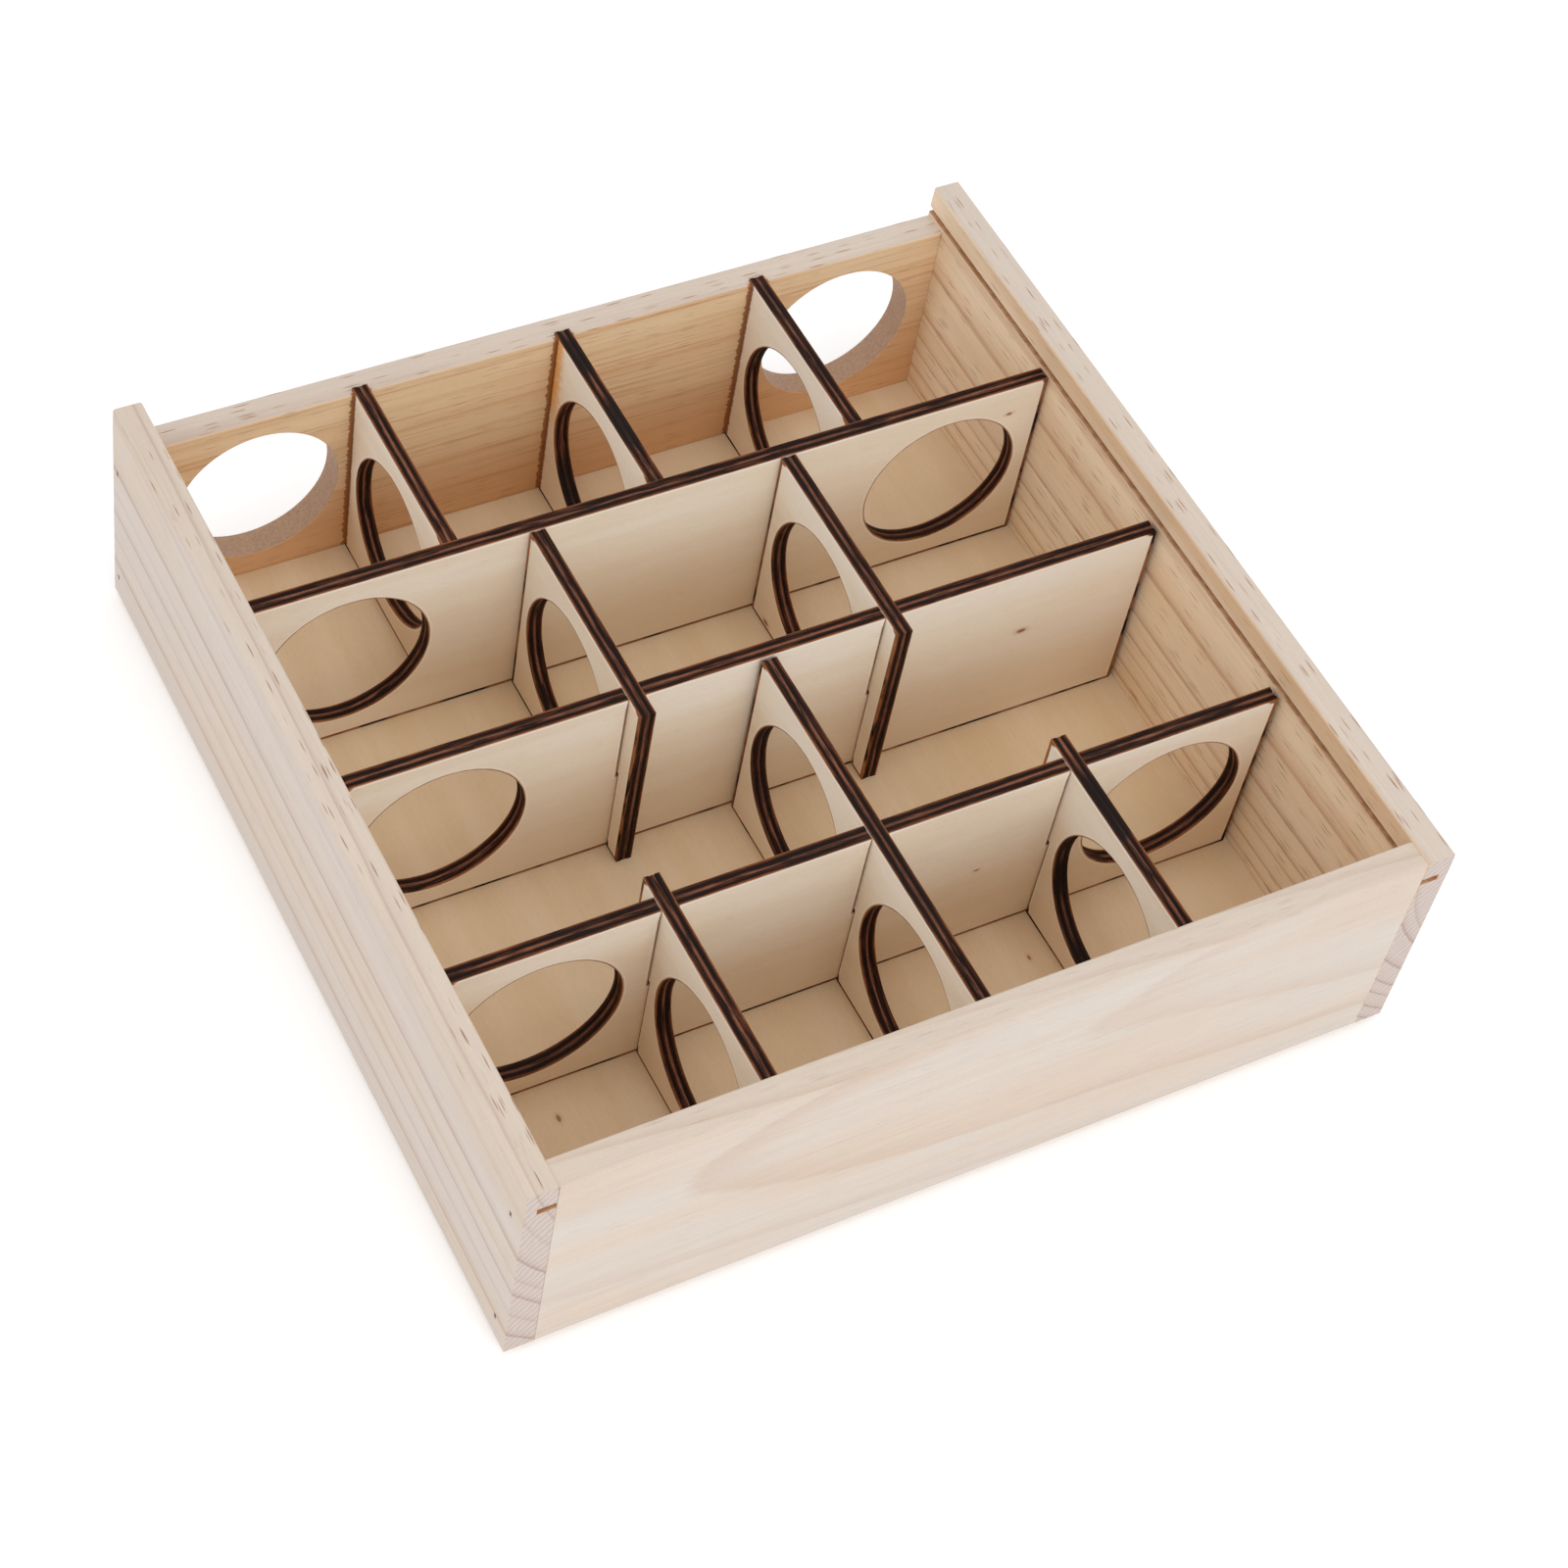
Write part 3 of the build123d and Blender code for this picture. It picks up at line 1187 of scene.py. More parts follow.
@dataclass(frozen=True)
class PlywoodFinish:
    """Basswood plywood: smooth pale veneer, and edges that the laser has charred.

    The char's colours run from the middle of the core, at 0, to the face, at 1: the core is a
    grey-brown, the glue lines are black and the outer plies clear to a red-brown at the arris. The
    glue line is where the plates enter the back wall, and glue has spilt beside one of them.
    """

    name: str
    run: Run
    knots: tuple[Knot, ...] = ()
    pale: str = "f6ecdc"
    deep: str = "efdfc8"
    # Painted shade: a warmer, darker tone low on the plates, for the warm shade at the bottom of the
    # rooms.
    painted_foot_shade: str | None = "dfbd8f"
    glue_line: float | None = None
    spill_beside: float = 0.0
    fleck: str = "b98d62"
    knot_halo: str = "c08a55"
    knot_heart: str = "8a4f2c"
    # The pale colour of the painted highlight band beside the burnt edge.
    highlit_arris: str = "fbf3e8"
    scorched: str = "96582f"
    spilt_glue: str = "e39a35"
    burnt_glue: str = "743a12"
    dark_streak: str = "140602"
    light_streak: str = "6c3c25"
    soot: str = "120b08"
    char_colours: tuple[tuple[float, str], ...] = (
        (0.0, "85543d"), (0.12, "6b3c29"), (0.26, "2a1108"), (0.36, "110502"),
        (0.60, "160602"), (0.72, "401a0b"), (0.86, "7d4322"), (1.0, "a0643c"),
    )

    def factors(self, lengthways: float, sideways: float) -> tuple[float, float, float]:
        """One factor along the veneer's grain and another on the other two axes."""
        return tuple(lengthways if axis == self.run.value else sideways for axis in range(3))

    def grain(self, sheet: NodeSheet, lengthways: float, sideways: float) -> Socket:
        """The place, squeezed so that noise on it runs with the veneer's grain."""
        return sheet.scaled(sheet.place, self.factors(lengthways, sideways))

    def veneer(self, sheet: NodeSheet) -> tuple[Socket, Socket]:
        """The face veneer.

        Args:
            sheet: The sheet to draw on.

        Returns:
            Its colour and its relief.
        """
        cloud = sheet.noise(self.grain(sheet, 0.010, 0.022), 3.0)
        band = sheet.noise(self.grain(sheet, 0.006, 0.11))
        fibre = sheet.noise(self.grain(sheet, 0.12, 1.4), 3.0, 0.6)
        flecks = sheet.flecks(self.grain(sheet, 0.16, 0.9), 0.26, 0.22)
        share = sheet.smooth(sheet.times_plus(band, 0.5, sheet.times(cloud, 0.5)), 0.36, 0.64)
        colour = sheet.blend(share, tint(self.pale), tint(self.deep))
        # Painted shade: the veneer turns warmer and darker towards the foot, as the rooms are shaded
        # low down.
        if self.painted_foot_shade is not None:
            _, _, up = sheet.parts(sheet.place)
            lower = sheet.times(sheet.smooth(up, 72.0, 4.0), 0.5)
            colour = sheet.blend(lower, colour, tint(self.painted_foot_shade))
        colour = sheet.shade(colour, fibre, 0.93, 1.05)
        colour = sheet.shade(colour, sheet.mottle(0.9), 0.96, 1.035)
        colour = sheet.blend(sheet.times(flecks, 0.16), colour, tint(self.fleck))
        for knot in self.knots:
            colour = self.knotted(sheet, colour, fibre, knot)
        return colour, sheet.times_plus(flecks, -0.3, fibre)

    def knotted(self, sheet: NodeSheet, colour: Socket, fibre: Socket, knot: Knot) -> Socket:
        """Adds a pin knot, nearly twice as long as wide, with a soft halo.

        Args:
            sheet: The sheet to draw on.
            colour: The colour so far.
            fibre: The noise of the fibres, which frays the knot.
            knot: The knot.

        Returns:
            The colour, with the knot.
        """
        off = sheet.feed(sheet.add("ShaderNodeVectorMath", operation="SUBTRACT"), sheet.place,
                         knot.place)
        length = sheet.add("ShaderNodeVectorMath", operation="LENGTH")
        sheet.feed(length, sheet.scaled(off, self.factors(0.55, 1.0)))
        away = sheet.times_plus(fibre, 0.5, length.outputs["Value"])
        halo = sheet.smooth(away, knot.radius * 2.4, knot.radius)
        heart = sheet.smooth(away, knot.radius * 1.25, knot.radius * 0.7)
        colour = sheet.blend(sheet.times(halo, 0.35), colour, tint(self.knot_halo))
        return sheet.blend(sheet.times(heart, 0.9), colour, tint(self.knot_heart))

    def charred(self, sheet: NodeSheet) -> tuple[Socket, Socket]:
        """The charred edge, coloured by ply.

        Streaks follow the edge, because their noise changes quickly with the ply and slowly with
        the place.

        Args:
            sheet: The sheet to draw on.

        Returns:
            Its colour and its relief.
        """
        side = sheet.attribute("ply")
        streak = sheet.feed_named(sheet.add("ShaderNodeTexNoise", noise_dimensions="4D"), {
            "Vector": sheet.scaled(sheet.place, (0.09,) * 3),
            "W": sheet.times(side, 5.0),
            "Scale": 1.0,
            "Detail": 3.0,
        })
        wander = sheet.minus(sheet.mottle(0.35, 3.0), 0.5)
        ply = sheet.times_plus(wander, 0.16, sheet.unsigned(side))
        grit = sheet.mottle(1.6, 3.0, 0.7)
        colour = sheet.ramp(ply, [(place, tint(code)) for place, code in self.char_colours])
        colour = sheet.blend(sheet.smooth(streak, 0.54, 0.36), colour, tint(self.dark_streak))
        light = sheet.times(sheet.smooth(streak, 0.55, 0.7), 0.4)
        colour = sheet.blend(light, colour, tint(self.light_streak))
        colour = sheet.shade(colour, grit, 0.55, 1.4)
        sooty = sheet.times(sheet.attribute("soot"), sheet.smooth(sheet.mottle(0.03), 0.62, 0.36))
        return sheet.blend(sheet.math("MINIMUM", sooty, 0.9), colour, tint(self.soot)), grit

    def glue_stain(self, sheet: NodeSheet, face: Socket) -> Socket:
        """Adds glue squeezed out in a broken line where the plates enter their housings.

        Args:
            sheet: The sheet to draw on.
            face: The veneer's colour.

        Returns:
            The colour, with the brown line and the orange spill.
        """
        if self.glue_line is None:
            return face
        x, along, up = sheet.parts(sheet.place)
        off = sheet.unsigned(sheet.minus(along, self.glue_line))
        bead = sheet.noise(sheet.vector(0.0, sheet.times(along, 0.3), sheet.times(up, 0.7)), 3.0)
        aside = sheet.unsigned(sheet.minus(x, self.spill_beside))
        spill = sheet.times(sheet.smooth(aside, 5.0, 4.0), sheet.smooth(up, 30.0, 48.0))
        reach = sheet.times_plus(bead, -9.0, off)
        spill = sheet.times(spill, sheet.smooth(reach, 3.0, -2.0))
        face = sheet.blend(sheet.times(spill, 0.85), face, tint(self.spilt_glue))
        off = sheet.times_plus(bead, -1.8, off)
        stain = sheet.times(sheet.smooth(off, 0.8, 0.2), 0.9)
        return sheet.blend(stain, face, tint(self.burnt_glue))

    def make(self) -> bpy.types.Material:
        """Makes the material.

        Returns:
            The plywood: veneer, a painted highlight band beside the edge, then scorch, then char.
        """
        sheet = NodeSheet(self.name)
        face, face_relief = self.veneer(sheet)
        edge, edge_relief = self.charred(sheet)
        char = sheet.attribute("char")
        scorch = sheet.times_plus(sheet.minus(sheet.mottle(0.25, 3.0), 0.5), 0.16, char)
        # bright paints a highlight: a pale band beside the burnt edge, where light catches the arris.
        bright = sheet.times(sheet.span(char, 0.06, 0.22, 0.05), 0.9)
        face = self.glue_stain(sheet, sheet.blend(bright, face, tint(self.highlit_arris)))
        face = sheet.blend(sheet.smooth(scorch, 0.26, 0.56), face, tint(self.scorched))
        burnt = sheet.smooth(scorch, 0.46, 0.8)
        relief = sheet.times_plus(sheet.times(edge_relief, burnt), 1.6,
                                  sheet.times(face_relief, 0.5))
        roughness = sheet.times_plus(burnt, 0.2, 0.6)
        return sheet.finish(sheet.blend(burnt, face, edge), roughness, relief, 0.12, gloss=0.12)


@dataclass(frozen=True)
class FloorFinish:
    """The floor panel: the same veneer in darker, more orange tones, painted shade for the shaded
    room floors, with sawn edges that show three pale plies.
    """

    name: str
    knots: tuple[Knot, ...]
    thickness: float
    # Painted shade: these tones are darker and more orange than the plates' veneer, for the shaded
    # floors of the rooms.
    pale: str = "dcbf9a"
    deep: str = "d6b58c"
    outer_ply: str = "dcc29a"
    core_ply: str = "b8905f"

    def make(self) -> bpy.types.Material:
        """Makes the material.

        Returns:
            The plywood, with its core showing in the middle third of the edge.
        """
        sheet = NodeSheet(self.name)
        veneer = PlywoodFinish(self.name, Run.DEEP, self.knots, self.pale, self.deep, None)
        colour, relief = veneer.veneer(sheet)
        _, _, up = sheet.parts(sheet.place)
        _, _, upright = sheet.parts(sheet.normal)
        edge = sheet.smooth(sheet.unsigned(upright), 0.6, 0.3)
        core = sheet.span(up, self.thickness * 0.34, self.thickness * 0.66, 0.08)
        grit = sheet.mottle(1.2, 3.0, 0.7)
        plies = sheet.blend(core, tint(self.outer_ply), tint(self.core_ply))
        colour = sheet.blend(edge, colour, sheet.shade(plies, grit, 0.8, 1.12))
        relief = sheet.times_plus(sheet.times(grit, edge), 0.6, relief)
        return sheet.finish(colour, 0.58, relief, 0.1)


@dataclass(frozen=True)
class SteelFinish:
    """Bright brad wire, dulled, with a little rust on the head."""

    name: str
    dull: str = "4c4845"
    bright: str = "8c8681"
    rust: str = "6d4a36"

    def make(self) -> bpy.types.Material:
        """Makes the material.

        Returns:
            The scratched steel, with its rust in patches.
        """
        sheet = NodeSheet(self.name)
        scratch = sheet.mottle(3.0, 4.0, 0.7)
        patch = sheet.mottle(0.7)
        steel = sheet.blend(scratch, tint(self.dull), tint(self.bright))
        colour = sheet.blend(sheet.smooth(patch, 0.5, 0.7), steel, tint(self.rust))
        roughness = sheet.times_plus(patch, 0.3, 0.35)
        return sheet.finish(colour, roughness, scratch, 0.03, metallic=0.85, gloss=0.5)


# ---- pieces ----------------------------------------------------------------------------------------


@dataclass
class Piece:
    """A wooden piece that stands for one CAD node."""

    node: str
    body: str
    slot: str

    def place(self, made: bpy.types.Object, material: bpy.types.Material) -> bpy.types.Object:
        """Dresses a made piece and sets it on its body.

        Args:
            made: The piece's mesh object.
            material: Its finish.

        Returns:
            The same object.
        """
        made.data.materials.clear()
        made.data.materials.append(material)
        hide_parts(self.node)
        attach(made, self.body)
        log.info("%s: %d faces, rides on %s", made.name, len(made.data.polygons), self.body)
        return made


@dataclass
class BradRow:
    """Brads of one CAD node, which stand in a row and are driven in along one axis.

    Their pockets reach out past the head, and each shank's pocket overlaps its head's.
    """

    node: str
    count: int
    drive_axis: int
    head_length: float = 0.9
    head_long: float = 2.2
    shank_across: float = 1.0
    shank_along: float = 1.2
    reach_out: float = 2.0
    overlap: float = 0.01

    def blocks(self) -> list[Block]:
        """The pockets that the brads fill, as blocks to cut out of the wood.

        The row runs along the box's longest axis, and the head's long side with it. The head is
        at the end of the drive axis that is further from the middle of the maze box, or at the
        bottom for an upright drive.

        Returns:
            The head's and the shank's block of each brad.
        """
        low, high = node_box(self.node)
        row_axis = int(np.argmax(high - low))
        thin_axis = 3 - row_axis - self.drive_axis
        outward = 1.0 if self.drive_axis == 0 and low[0] > 0 else -1.0
        face = high[self.drive_axis] if outward > 0 else low[self.drive_axis]
        tip = low[self.drive_axis] if outward > 0 else high[self.drive_axis]
        neck = face - outward * self.head_length
        first, last = low[row_axis] + self.head_long / 2, high[row_axis] - self.head_long / 2
        head, shank = np.zeros(3), np.zeros(3)
        head[row_axis], head[thin_axis] = self.head_long / 2, (high - low)[thin_axis] / 2
        shank[row_axis], shank[thin_axis] = self.shank_along / 2, self.shank_across / 2
        made = []
        for spot in np.linspace(first, last, self.count):
            middle = (low + high) / 2
            middle[row_axis] = spot
            made.append(self.between(middle, head, face + outward * self.reach_out, neck))
            made.append(self.between(middle, shank, neck + outward * self.overlap, tip))
        return made

    def between(self, middle: np.ndarray, half: np.ndarray, start: float, stop: float) -> Block:
        """A block about a middle.

        Args:
            middle: The middle of the block.
            half: Half its size on each axis but the drive axis.
            start: Where it starts on the drive axis.
            stop: Where it stops on the drive axis.

        Returns:
            Its lowest and highest corner.
        """
        low, high = middle - half, middle + half
        low[self.drive_axis], high[self.drive_axis] = min(start, stop), max(start, stop)
        return low, high

    def dress(self, material: bpy.types.Material) -> None:
        """Gives the CAD brads their steel.

        Args:
            material: The steel.
        """
        brads = frame["nodes"][self.node]
        brads.data.materials.clear()
        brads.data.materials.append(material)
        log.info("%s: %d brads", self.node, self.count)


@dataclass
class Wall(Piece):
    """A pine wall with rounded arrises, and any doors, grooves and pockets."""

    run: Run
    name: str
    door_mounts: tuple[str, ...] = ()
    rim: SandedRim = field(default_factory=SandedRim)
    face_inset: float = 1.6
    step: float = 4.0
    door_step: float = 2.5

    def build(self, cuts: list[Block]) -> bpy.types.Object:
        """Makes the wall's mesh from its CAD box.

        Args:
            cuts: The blocks to cut out, with any that belong to other pieces.

        Returns:
            The wall.
        """
        low, high = node_box(self.node)
        along, across = self.run.value, 1 - self.run.value
        doors = tuple(
            Door(mount_place(m)[along], mount_place(m)[2], float(mount_of(m)["dims"]["r_mm"]))
            for m in self.door_mounts
        )
        layout = FaceLayout(low[along], high[along], low[2], high[2], doors,
                            inset=self.face_inset,
                            step=self.door_step if doors else self.step)
        half = (high[across] - low[across]) / 2
        slab = slab_from(layout.build(), self.rim, self.face_inset, half)
        points = stand_up(slab, self.run, (high[across] + low[across]) / 2)
        made = make_object(self.name, points, slab.squares)
        cut_blocks(made, cuts, low, high)
        return made


@dataclass
class FloorPanel(Piece):
    """The thin plywood panel under the walls, with a pocket for each floor brad."""

    name: str
    arris: float = 0.15
    face_inset: float = 1.0
    step: float = 12.0

    def build(self, cuts: list[Block]) -> bpy.types.Object:
        """Makes the panel from its CAD box, as a slab laid flat.

        Args:
            cuts: The blocks to cut out, with any that belong to other pieces.

        Returns:
            The panel.
        """
        low, high = node_box(self.node)
        layout = FaceLayout(low[0], high[0], low[1], high[1], inset=self.face_inset,
                            step=self.step)
        half = (high[2] - low[2]) / 2
        rim = SandedRim(arris=self.arris, top_arris=self.arris)
        slab = slab_from(layout.build(), rim, self.face_inset, half)
        along, deep, across = slab.points.T
        points = np.column_stack([along, deep, (high[2] + low[2]) / 2 + across])
        made = make_object(self.name, points, slab.squares)
        cut_blocks(made, cuts, low, high)
        return made


@dataclass
class Divider(Piece):
    """A laser-cut plate with round doors and halving slots."""

    run: Run
    name: str
    doors: tuple[float, ...] = ()
    slots: tuple[float, ...] = ()
    mouth: SlotMouth = SlotMouth.TOP
    soot: float = 0.3
    door_diameter: float = 51.5
    slot_width: float = 5.3
    slot_overcut: float = 0.5
    face_inset: float = 1.6
    step: float = 2.5
    door_margin: float = 2.5

    def build(self) -> bpy.types.Object:
        """Makes the plate's mesh from its CAD box and its own doors and slots.

        Returns:
            The plate, with its burn, ply and soot stored on its points.
        """
        low, high = node_box(self.node)
        along, across = self.run.value, 1 - self.run.value
        middle = (low[2] + high[2]) / 2
        depth = (high[2] - low[2]) / 2 + self.slot_overcut
        doors = tuple(Door(c, middle, self.door_diameter / 2) for c in self.doors)
        slots = tuple(Slot(c, self.slot_width, depth, self.mouth) for c in self.slots)
        layout = FaceLayout(low[along], high[along], low[2], high[2], doors, slots,
                            self.face_inset, self.step, self.door_margin)
        half = (high[across] - low[across]) / 2
        slab = slab_from(layout.build(), LaserRim(), self.face_inset, half)
        points = stand_up(slab, self.run, (high[across] + low[across]) / 2)
        layers = {"char": slab.char, "ply": slab.ply, "soot": np.full(len(points), self.soot)}
        return make_object(self.name, points, slab.squares, layers)


# ---- sub-assemblies --------------------------------------------------------------------------------


@dataclass
class Carcase:
    """The four walls and the floor, with the brads that hold them."""

    groove_height: float = 2.4
    groove_depth: float = 5.6
    housing_width: float = 5.0
    housing_depth: float = 2.0
    overrun: float = 2.0
    housing_nodes: tuple[str, ...] = (
        "back_bay_divider_left",
        "back_bay_divider_centre",
        "back_bay_divider_right",
    )
    floor_knots: tuple[Knot, ...] = (Knot((-96.0, -81.0, 3.0), 0.9), Knot((53.3, -84.1, 3.0), 0.7))
    left_rings: tuple[Ring, ...] = (
        Ring(106.4, 0.7, 2), Ring(113, 0.3, 3), Ring(121, 1.0, 3), Ring(126.5, 0.4, 2.5),
        Ring(131.3, 0.95, 2.5), Ring(138, 0.4, 3), Ring(145, 1.0, 3),
    )
    right_rings: tuple[Ring, ...] = (
        Ring(54.3, 0.55, 2), Ring(59, 1.0, 3), Ring(68.3, 1.0, 3), Ring(74.7, 0.9, 2.4),
        Ring(78.9, 0.85, 1.8), Ring(84.1, 1.0, 2.2), Ring(88.6, 1.0, 2.2),
    )
    front_rings: tuple[Ring, ...] = (
        Ring(66, 0.3, 6), Ring(74, 0.45, 6), Ring(82, 0.35, 6), Ring(90, 0.5, 6),
        Ring(98, 0.35, 6), Ring(107, 0.4, 6),
    )
    back_rings: tuple[Ring, ...] = (
        Ring(60, 0.7, 5), Ring(69, 0.5, 5), Ring(79, 0.9, 5), Ring(88, 0.6, 5),
        Ring(96, 0.8, 5), Ring(105, 0.6, 5), Ring(116, 0.8, 5),
    )

    def brad_rows(self) -> list[BradRow]:
        """All the rows of brads.

        Returns:
            Rows of two at the corners, driven along X, and of three along the sides of the floor,
            driven up.
        """
        corners = [f"{end}_{side}_brads" for end in ("front", "back") for side in ("left", "right")]
        floor = [f"floor_brads_{side}" for side in ("front", "back", "left", "right")]
        return [BradRow(n, 2, 0) for n in corners] + [BradRow(n, 3, 2) for n in floor]

    def groove_heights(self, side: str) -> tuple[float, float]:
        """The lowest and highest height of a side wall's cover groove."""
        height = mount_place(f"cover_groove_{side}")[2]
        return height - self.groove_height / 2, height + self.groove_height / 2

    def groove_blocks(self) -> list[Block]:
        """The cover grooves of the two side walls.

        Returns:
            A block for each groove, run out through both ends and through its mouth.
        """
        made = []
        for side in ("left", "right"):
            centre = mount_place(f"cover_groove_{side}")
            reach = centre[1] + self.overrun
            outward = np.sign(centre[0])
            deep = centre[0] + outward * self.groove_depth / 2
            mouth = centre[0] - outward * (self.groove_depth / 2 + self.overrun)
            low_z, high_z = self.groove_heights(side)
            made.append((np.array([min(deep, mouth), -reach, low_z]),
                         np.array([max(deep, mouth), reach, high_z])))
        return made

    def housing_blocks(self) -> list[Block]:
        """The shallow housings in the back wall that take the bay dividers' ends.

        Returns:
            A block for each housing, run out through the wall's top, foot and inner face.
        """
        wall_low, wall_high = node_box("back_wall")
        made = []
        for node in self.housing_nodes:
            middle = middle_of(node, 0)
            made.append((
                np.array([middle - self.housing_width / 2, wall_low[1] - self.overrun,
                          wall_low[2] - self.overrun]),
                np.array([middle + self.housing_width / 2, wall_low[1] + self.housing_depth,
                          wall_high[2] + self.overrun]),
            ))
        return made

    def side_finish(self, side: str) -> PineFinish:
        """The pine of a side wall, each sawn from its own place in the log.

        Args:
            side: "left" or "right".

        Returns:
            The finish.
        """
        inner_half = abs(mount_place(f"cover_groove_{side}")[0]) - self.groove_depth / 2
        zone = (*self.groove_heights(side), inner_half + self.groove_depth)
        if side == "left":
            return PineFinish("left_wall_pine", Run.DEEP, heart=(-34.75, 114.0),
                              rings=self.left_rings, inner_half=inner_half, groove=zone,
                              drift=(0.0125, 0.0))
        # The right wall's inner tones are raised and warmed further: painted light for the shade on
        # its inner face.
        return PineFinish("right_wall_pine", Run.DEEP, heart=(185.0, 76.0),
                          rings=self.right_rings, inner_half=inner_half, groove=zone,
                          lip_height=76.2, inner_late="b8794e", warm="fbe3c3",
                          warm_deep="f3d4ae")

    def front_finish(self) -> PineFinish:
        """The pine of the front wall, sawn near the bark, so that its rings run in broad arches.

        Returns:
            The finish.
        """
        wall_low, wall_high = node_box("front_wall")
        return PineFinish("front_wall_pine", Run.ACROSS, heart=(wall_low[1] + 84, 58.0),
                          rings=self.front_rings, inner_half=abs(wall_high[1]),
                          drift=(-0.07, 0.03), waver=6.4, pale="d1c5ba", creamy="d2bfad",
                          late="bf9c82", outside_ticks=0.03, top_ticks=0.1)

    def back_finish(self) -> PineFinish:
        """The pine of the back wall, warm with heartwood towards its foot.

        Returns:
            The finish.
        """
        inner_face = node_box("back_wall")[0][1]
        middles = tuple(middle_of(node, 0) for node in self.housing_nodes)
        # The warm and warm_deep inner tones here are painted light for the warm shade of the rooms.
        return PineFinish("back_wall_pine", Run.ACROSS, heart=(inner_face + 45, -36.0),
                          rings=self.back_rings, inner_half=inner_face, housings=middles,
                          drift=(0.02, 0.015), waver=4.0,
                          warm="f0d3ac", warm_deep="e3bb8d", inner_late="bf7f4a",
                          heartwood="d89f6c", inside_ticks=0.3, inner_ring_share=0.4,
                          hairlines=0.34, rim="a67e5f", end_ring_share=0.25,
                          saw_strokes=0.02, fuzziness=3.0)

    def build(self) -> None:
        """Makes the walls, the floor and the brads."""
        brads = self.brad_rows()
        pockets = [b for row in brads for b in row.blocks()]
        grooves = self.groove_blocks()
        for side in ("left", "right"):
            wall = Wall(f"{side}_side_wall", "box", "side_pine", Run.DEEP, f"{side}_wall_board")
            wall.place(wall.build(grooves + pockets), self.side_finish(side).make())
        front = Wall("front_wall", "box", "front_pine", Run.ACROSS, "front_wall_board")
        front.place(front.build(pockets), self.front_finish().make())
        back = Wall("back_wall", "box", "back_pine", Run.ACROSS, "back_wall_board",
                    ("left_wall_door", "right_wall_door"))
        back.place(back.build(self.housing_blocks() + pockets), self.back_finish().make())
        panel = FloorPanel("floor_panel", "box", "floor_plywood", "floor_plywood_panel")
        veneer = FloorFinish("floor_veneer", self.floor_knots, node_box("floor_panel")[1][2])
        panel.place(panel.build(pockets), veneer.make())
        steel = SteelFinish("brad_wire").make()
        for row in brads:
            row.dress(steel)


@dataclass
class DividerSet:
    """The eleven plywood dividers: three run across the box and eight run deep."""

    side_shift: float = 0.1
    cross_knots: tuple[Knot, ...] = (
        Knot((89.1, -2.1, 43.0), 1.1),
        Knot((119.1, 63.5, 59.4), 0.8),
        Knot((37.1, -69.4, 35.6), 0.7),
    )
    long_knots: tuple[Knot, ...] = (Knot((38.2, 54.2, 5.5), 1.0),)
    left_door: float = -98.5
    right_door: float = 98.5
    front_left_door: float = -100.6
    back_row_door: float = 99.8
    second_row_door: float = 32.6
    third_row_door: float = -33.2
    front_row_door: float = -99.8

    def slots_for(self, *nodes: str) -> tuple[float, ...]:
        """Where a plate that runs across is slotted for other plates, with their small shift."""
        return tuple(middle_of(node, 0) - self.side_shift for node in nodes)

    def cross_dividers(self) -> list[Divider]:
        """The plates that run across, with their slots open at the top.

        Returns:
            The rear, middle and front plates.
        """
        middle_slots = self.slots_for("second_row_divider_left", "second_row_divider_right")
        front_slots = self.slots_for("front_bay_divider_left", "long_centre_divider",
                                     "front_bay_divider_right")
        slot, run = "divider_plywood", Run.ACROSS
        return [
            Divider("rear_cross_divider", "box", slot, run, "rear_cross_plate",
                    (self.left_door, self.right_door), soot=0.35),
            Divider("middle_cross_divider", "middle_cross_plate", slot, run,
                    "middle_cross_plate", (self.left_door,), middle_slots, soot=0.25),
            Divider("front_cross_divider", "front_cross_plate", slot, run,
                    "front_cross_plate", (self.front_left_door, self.right_door),
                    front_slots, soot=0.5),
        ]

    def long_dividers(self) -> list[Divider]:
        """The plates that run deep, with their slots open at the bottom.

        Returns:
            The back bay, second row, long centre and front bay plates.
        """
        slot, run, low_mouth = "divider_plywood", Run.DEEP, SlotMouth.BOTTOM
        middle_y = middle_of("middle_cross_divider", 1)
        front_y = middle_of("front_cross_divider", 1)
        made = []
        for side, soot in (("left", 0.1), ("centre", 1.3), ("right", 0.7)):
            made.append(Divider(f"back_bay_divider_{side}", "box", slot, run,
                                f"back_bay_{side}_plate", (self.back_row_door,), soot=soot))
        for side in ("left", "right"):
            made.append(Divider(f"second_row_divider_{side}", f"second_row_plate_{side}", slot, run,
                                f"second_row_{side}_plate", (self.second_row_door,), (middle_y,),
                                low_mouth, 0.3))
        made.append(Divider("long_centre_divider", "long_centre_plate", slot, run,
                            "long_centre_plate", (self.front_row_door, self.third_row_door),
                            (front_y,), low_mouth, 0.6))
        for side, soot in (("left", 0.2), ("right", 1.4)):
            made.append(Divider(f"front_bay_divider_{side}", f"front_bay_plate_{side}", slot, run,
                                f"front_bay_{side}_plate", (self.front_row_door,), (front_y,),
                                low_mouth, soot))
        return made

    def build(self) -> None:
        """Makes and dresses all the plates."""
        across = PlywoodFinish("cross_plate_plywood", Run.ACROSS, self.cross_knots).make()
        housed_at = float(node_box("back_wall")[0][1])
        spill_beside = middle_of("back_bay_divider_centre", 0)
        deep = PlywoodFinish("long_plate_plywood", Run.DEEP, self.long_knots,
                             glue_line=housed_at, spill_beside=spill_beside).make()
        for plate in self.cross_dividers():
            plate.place(plate.build(), across)
        for plate in self.long_dividers():
            plate.place(plate.build(), deep)


# ---- studio ----------------------------------------------------------------------------------------


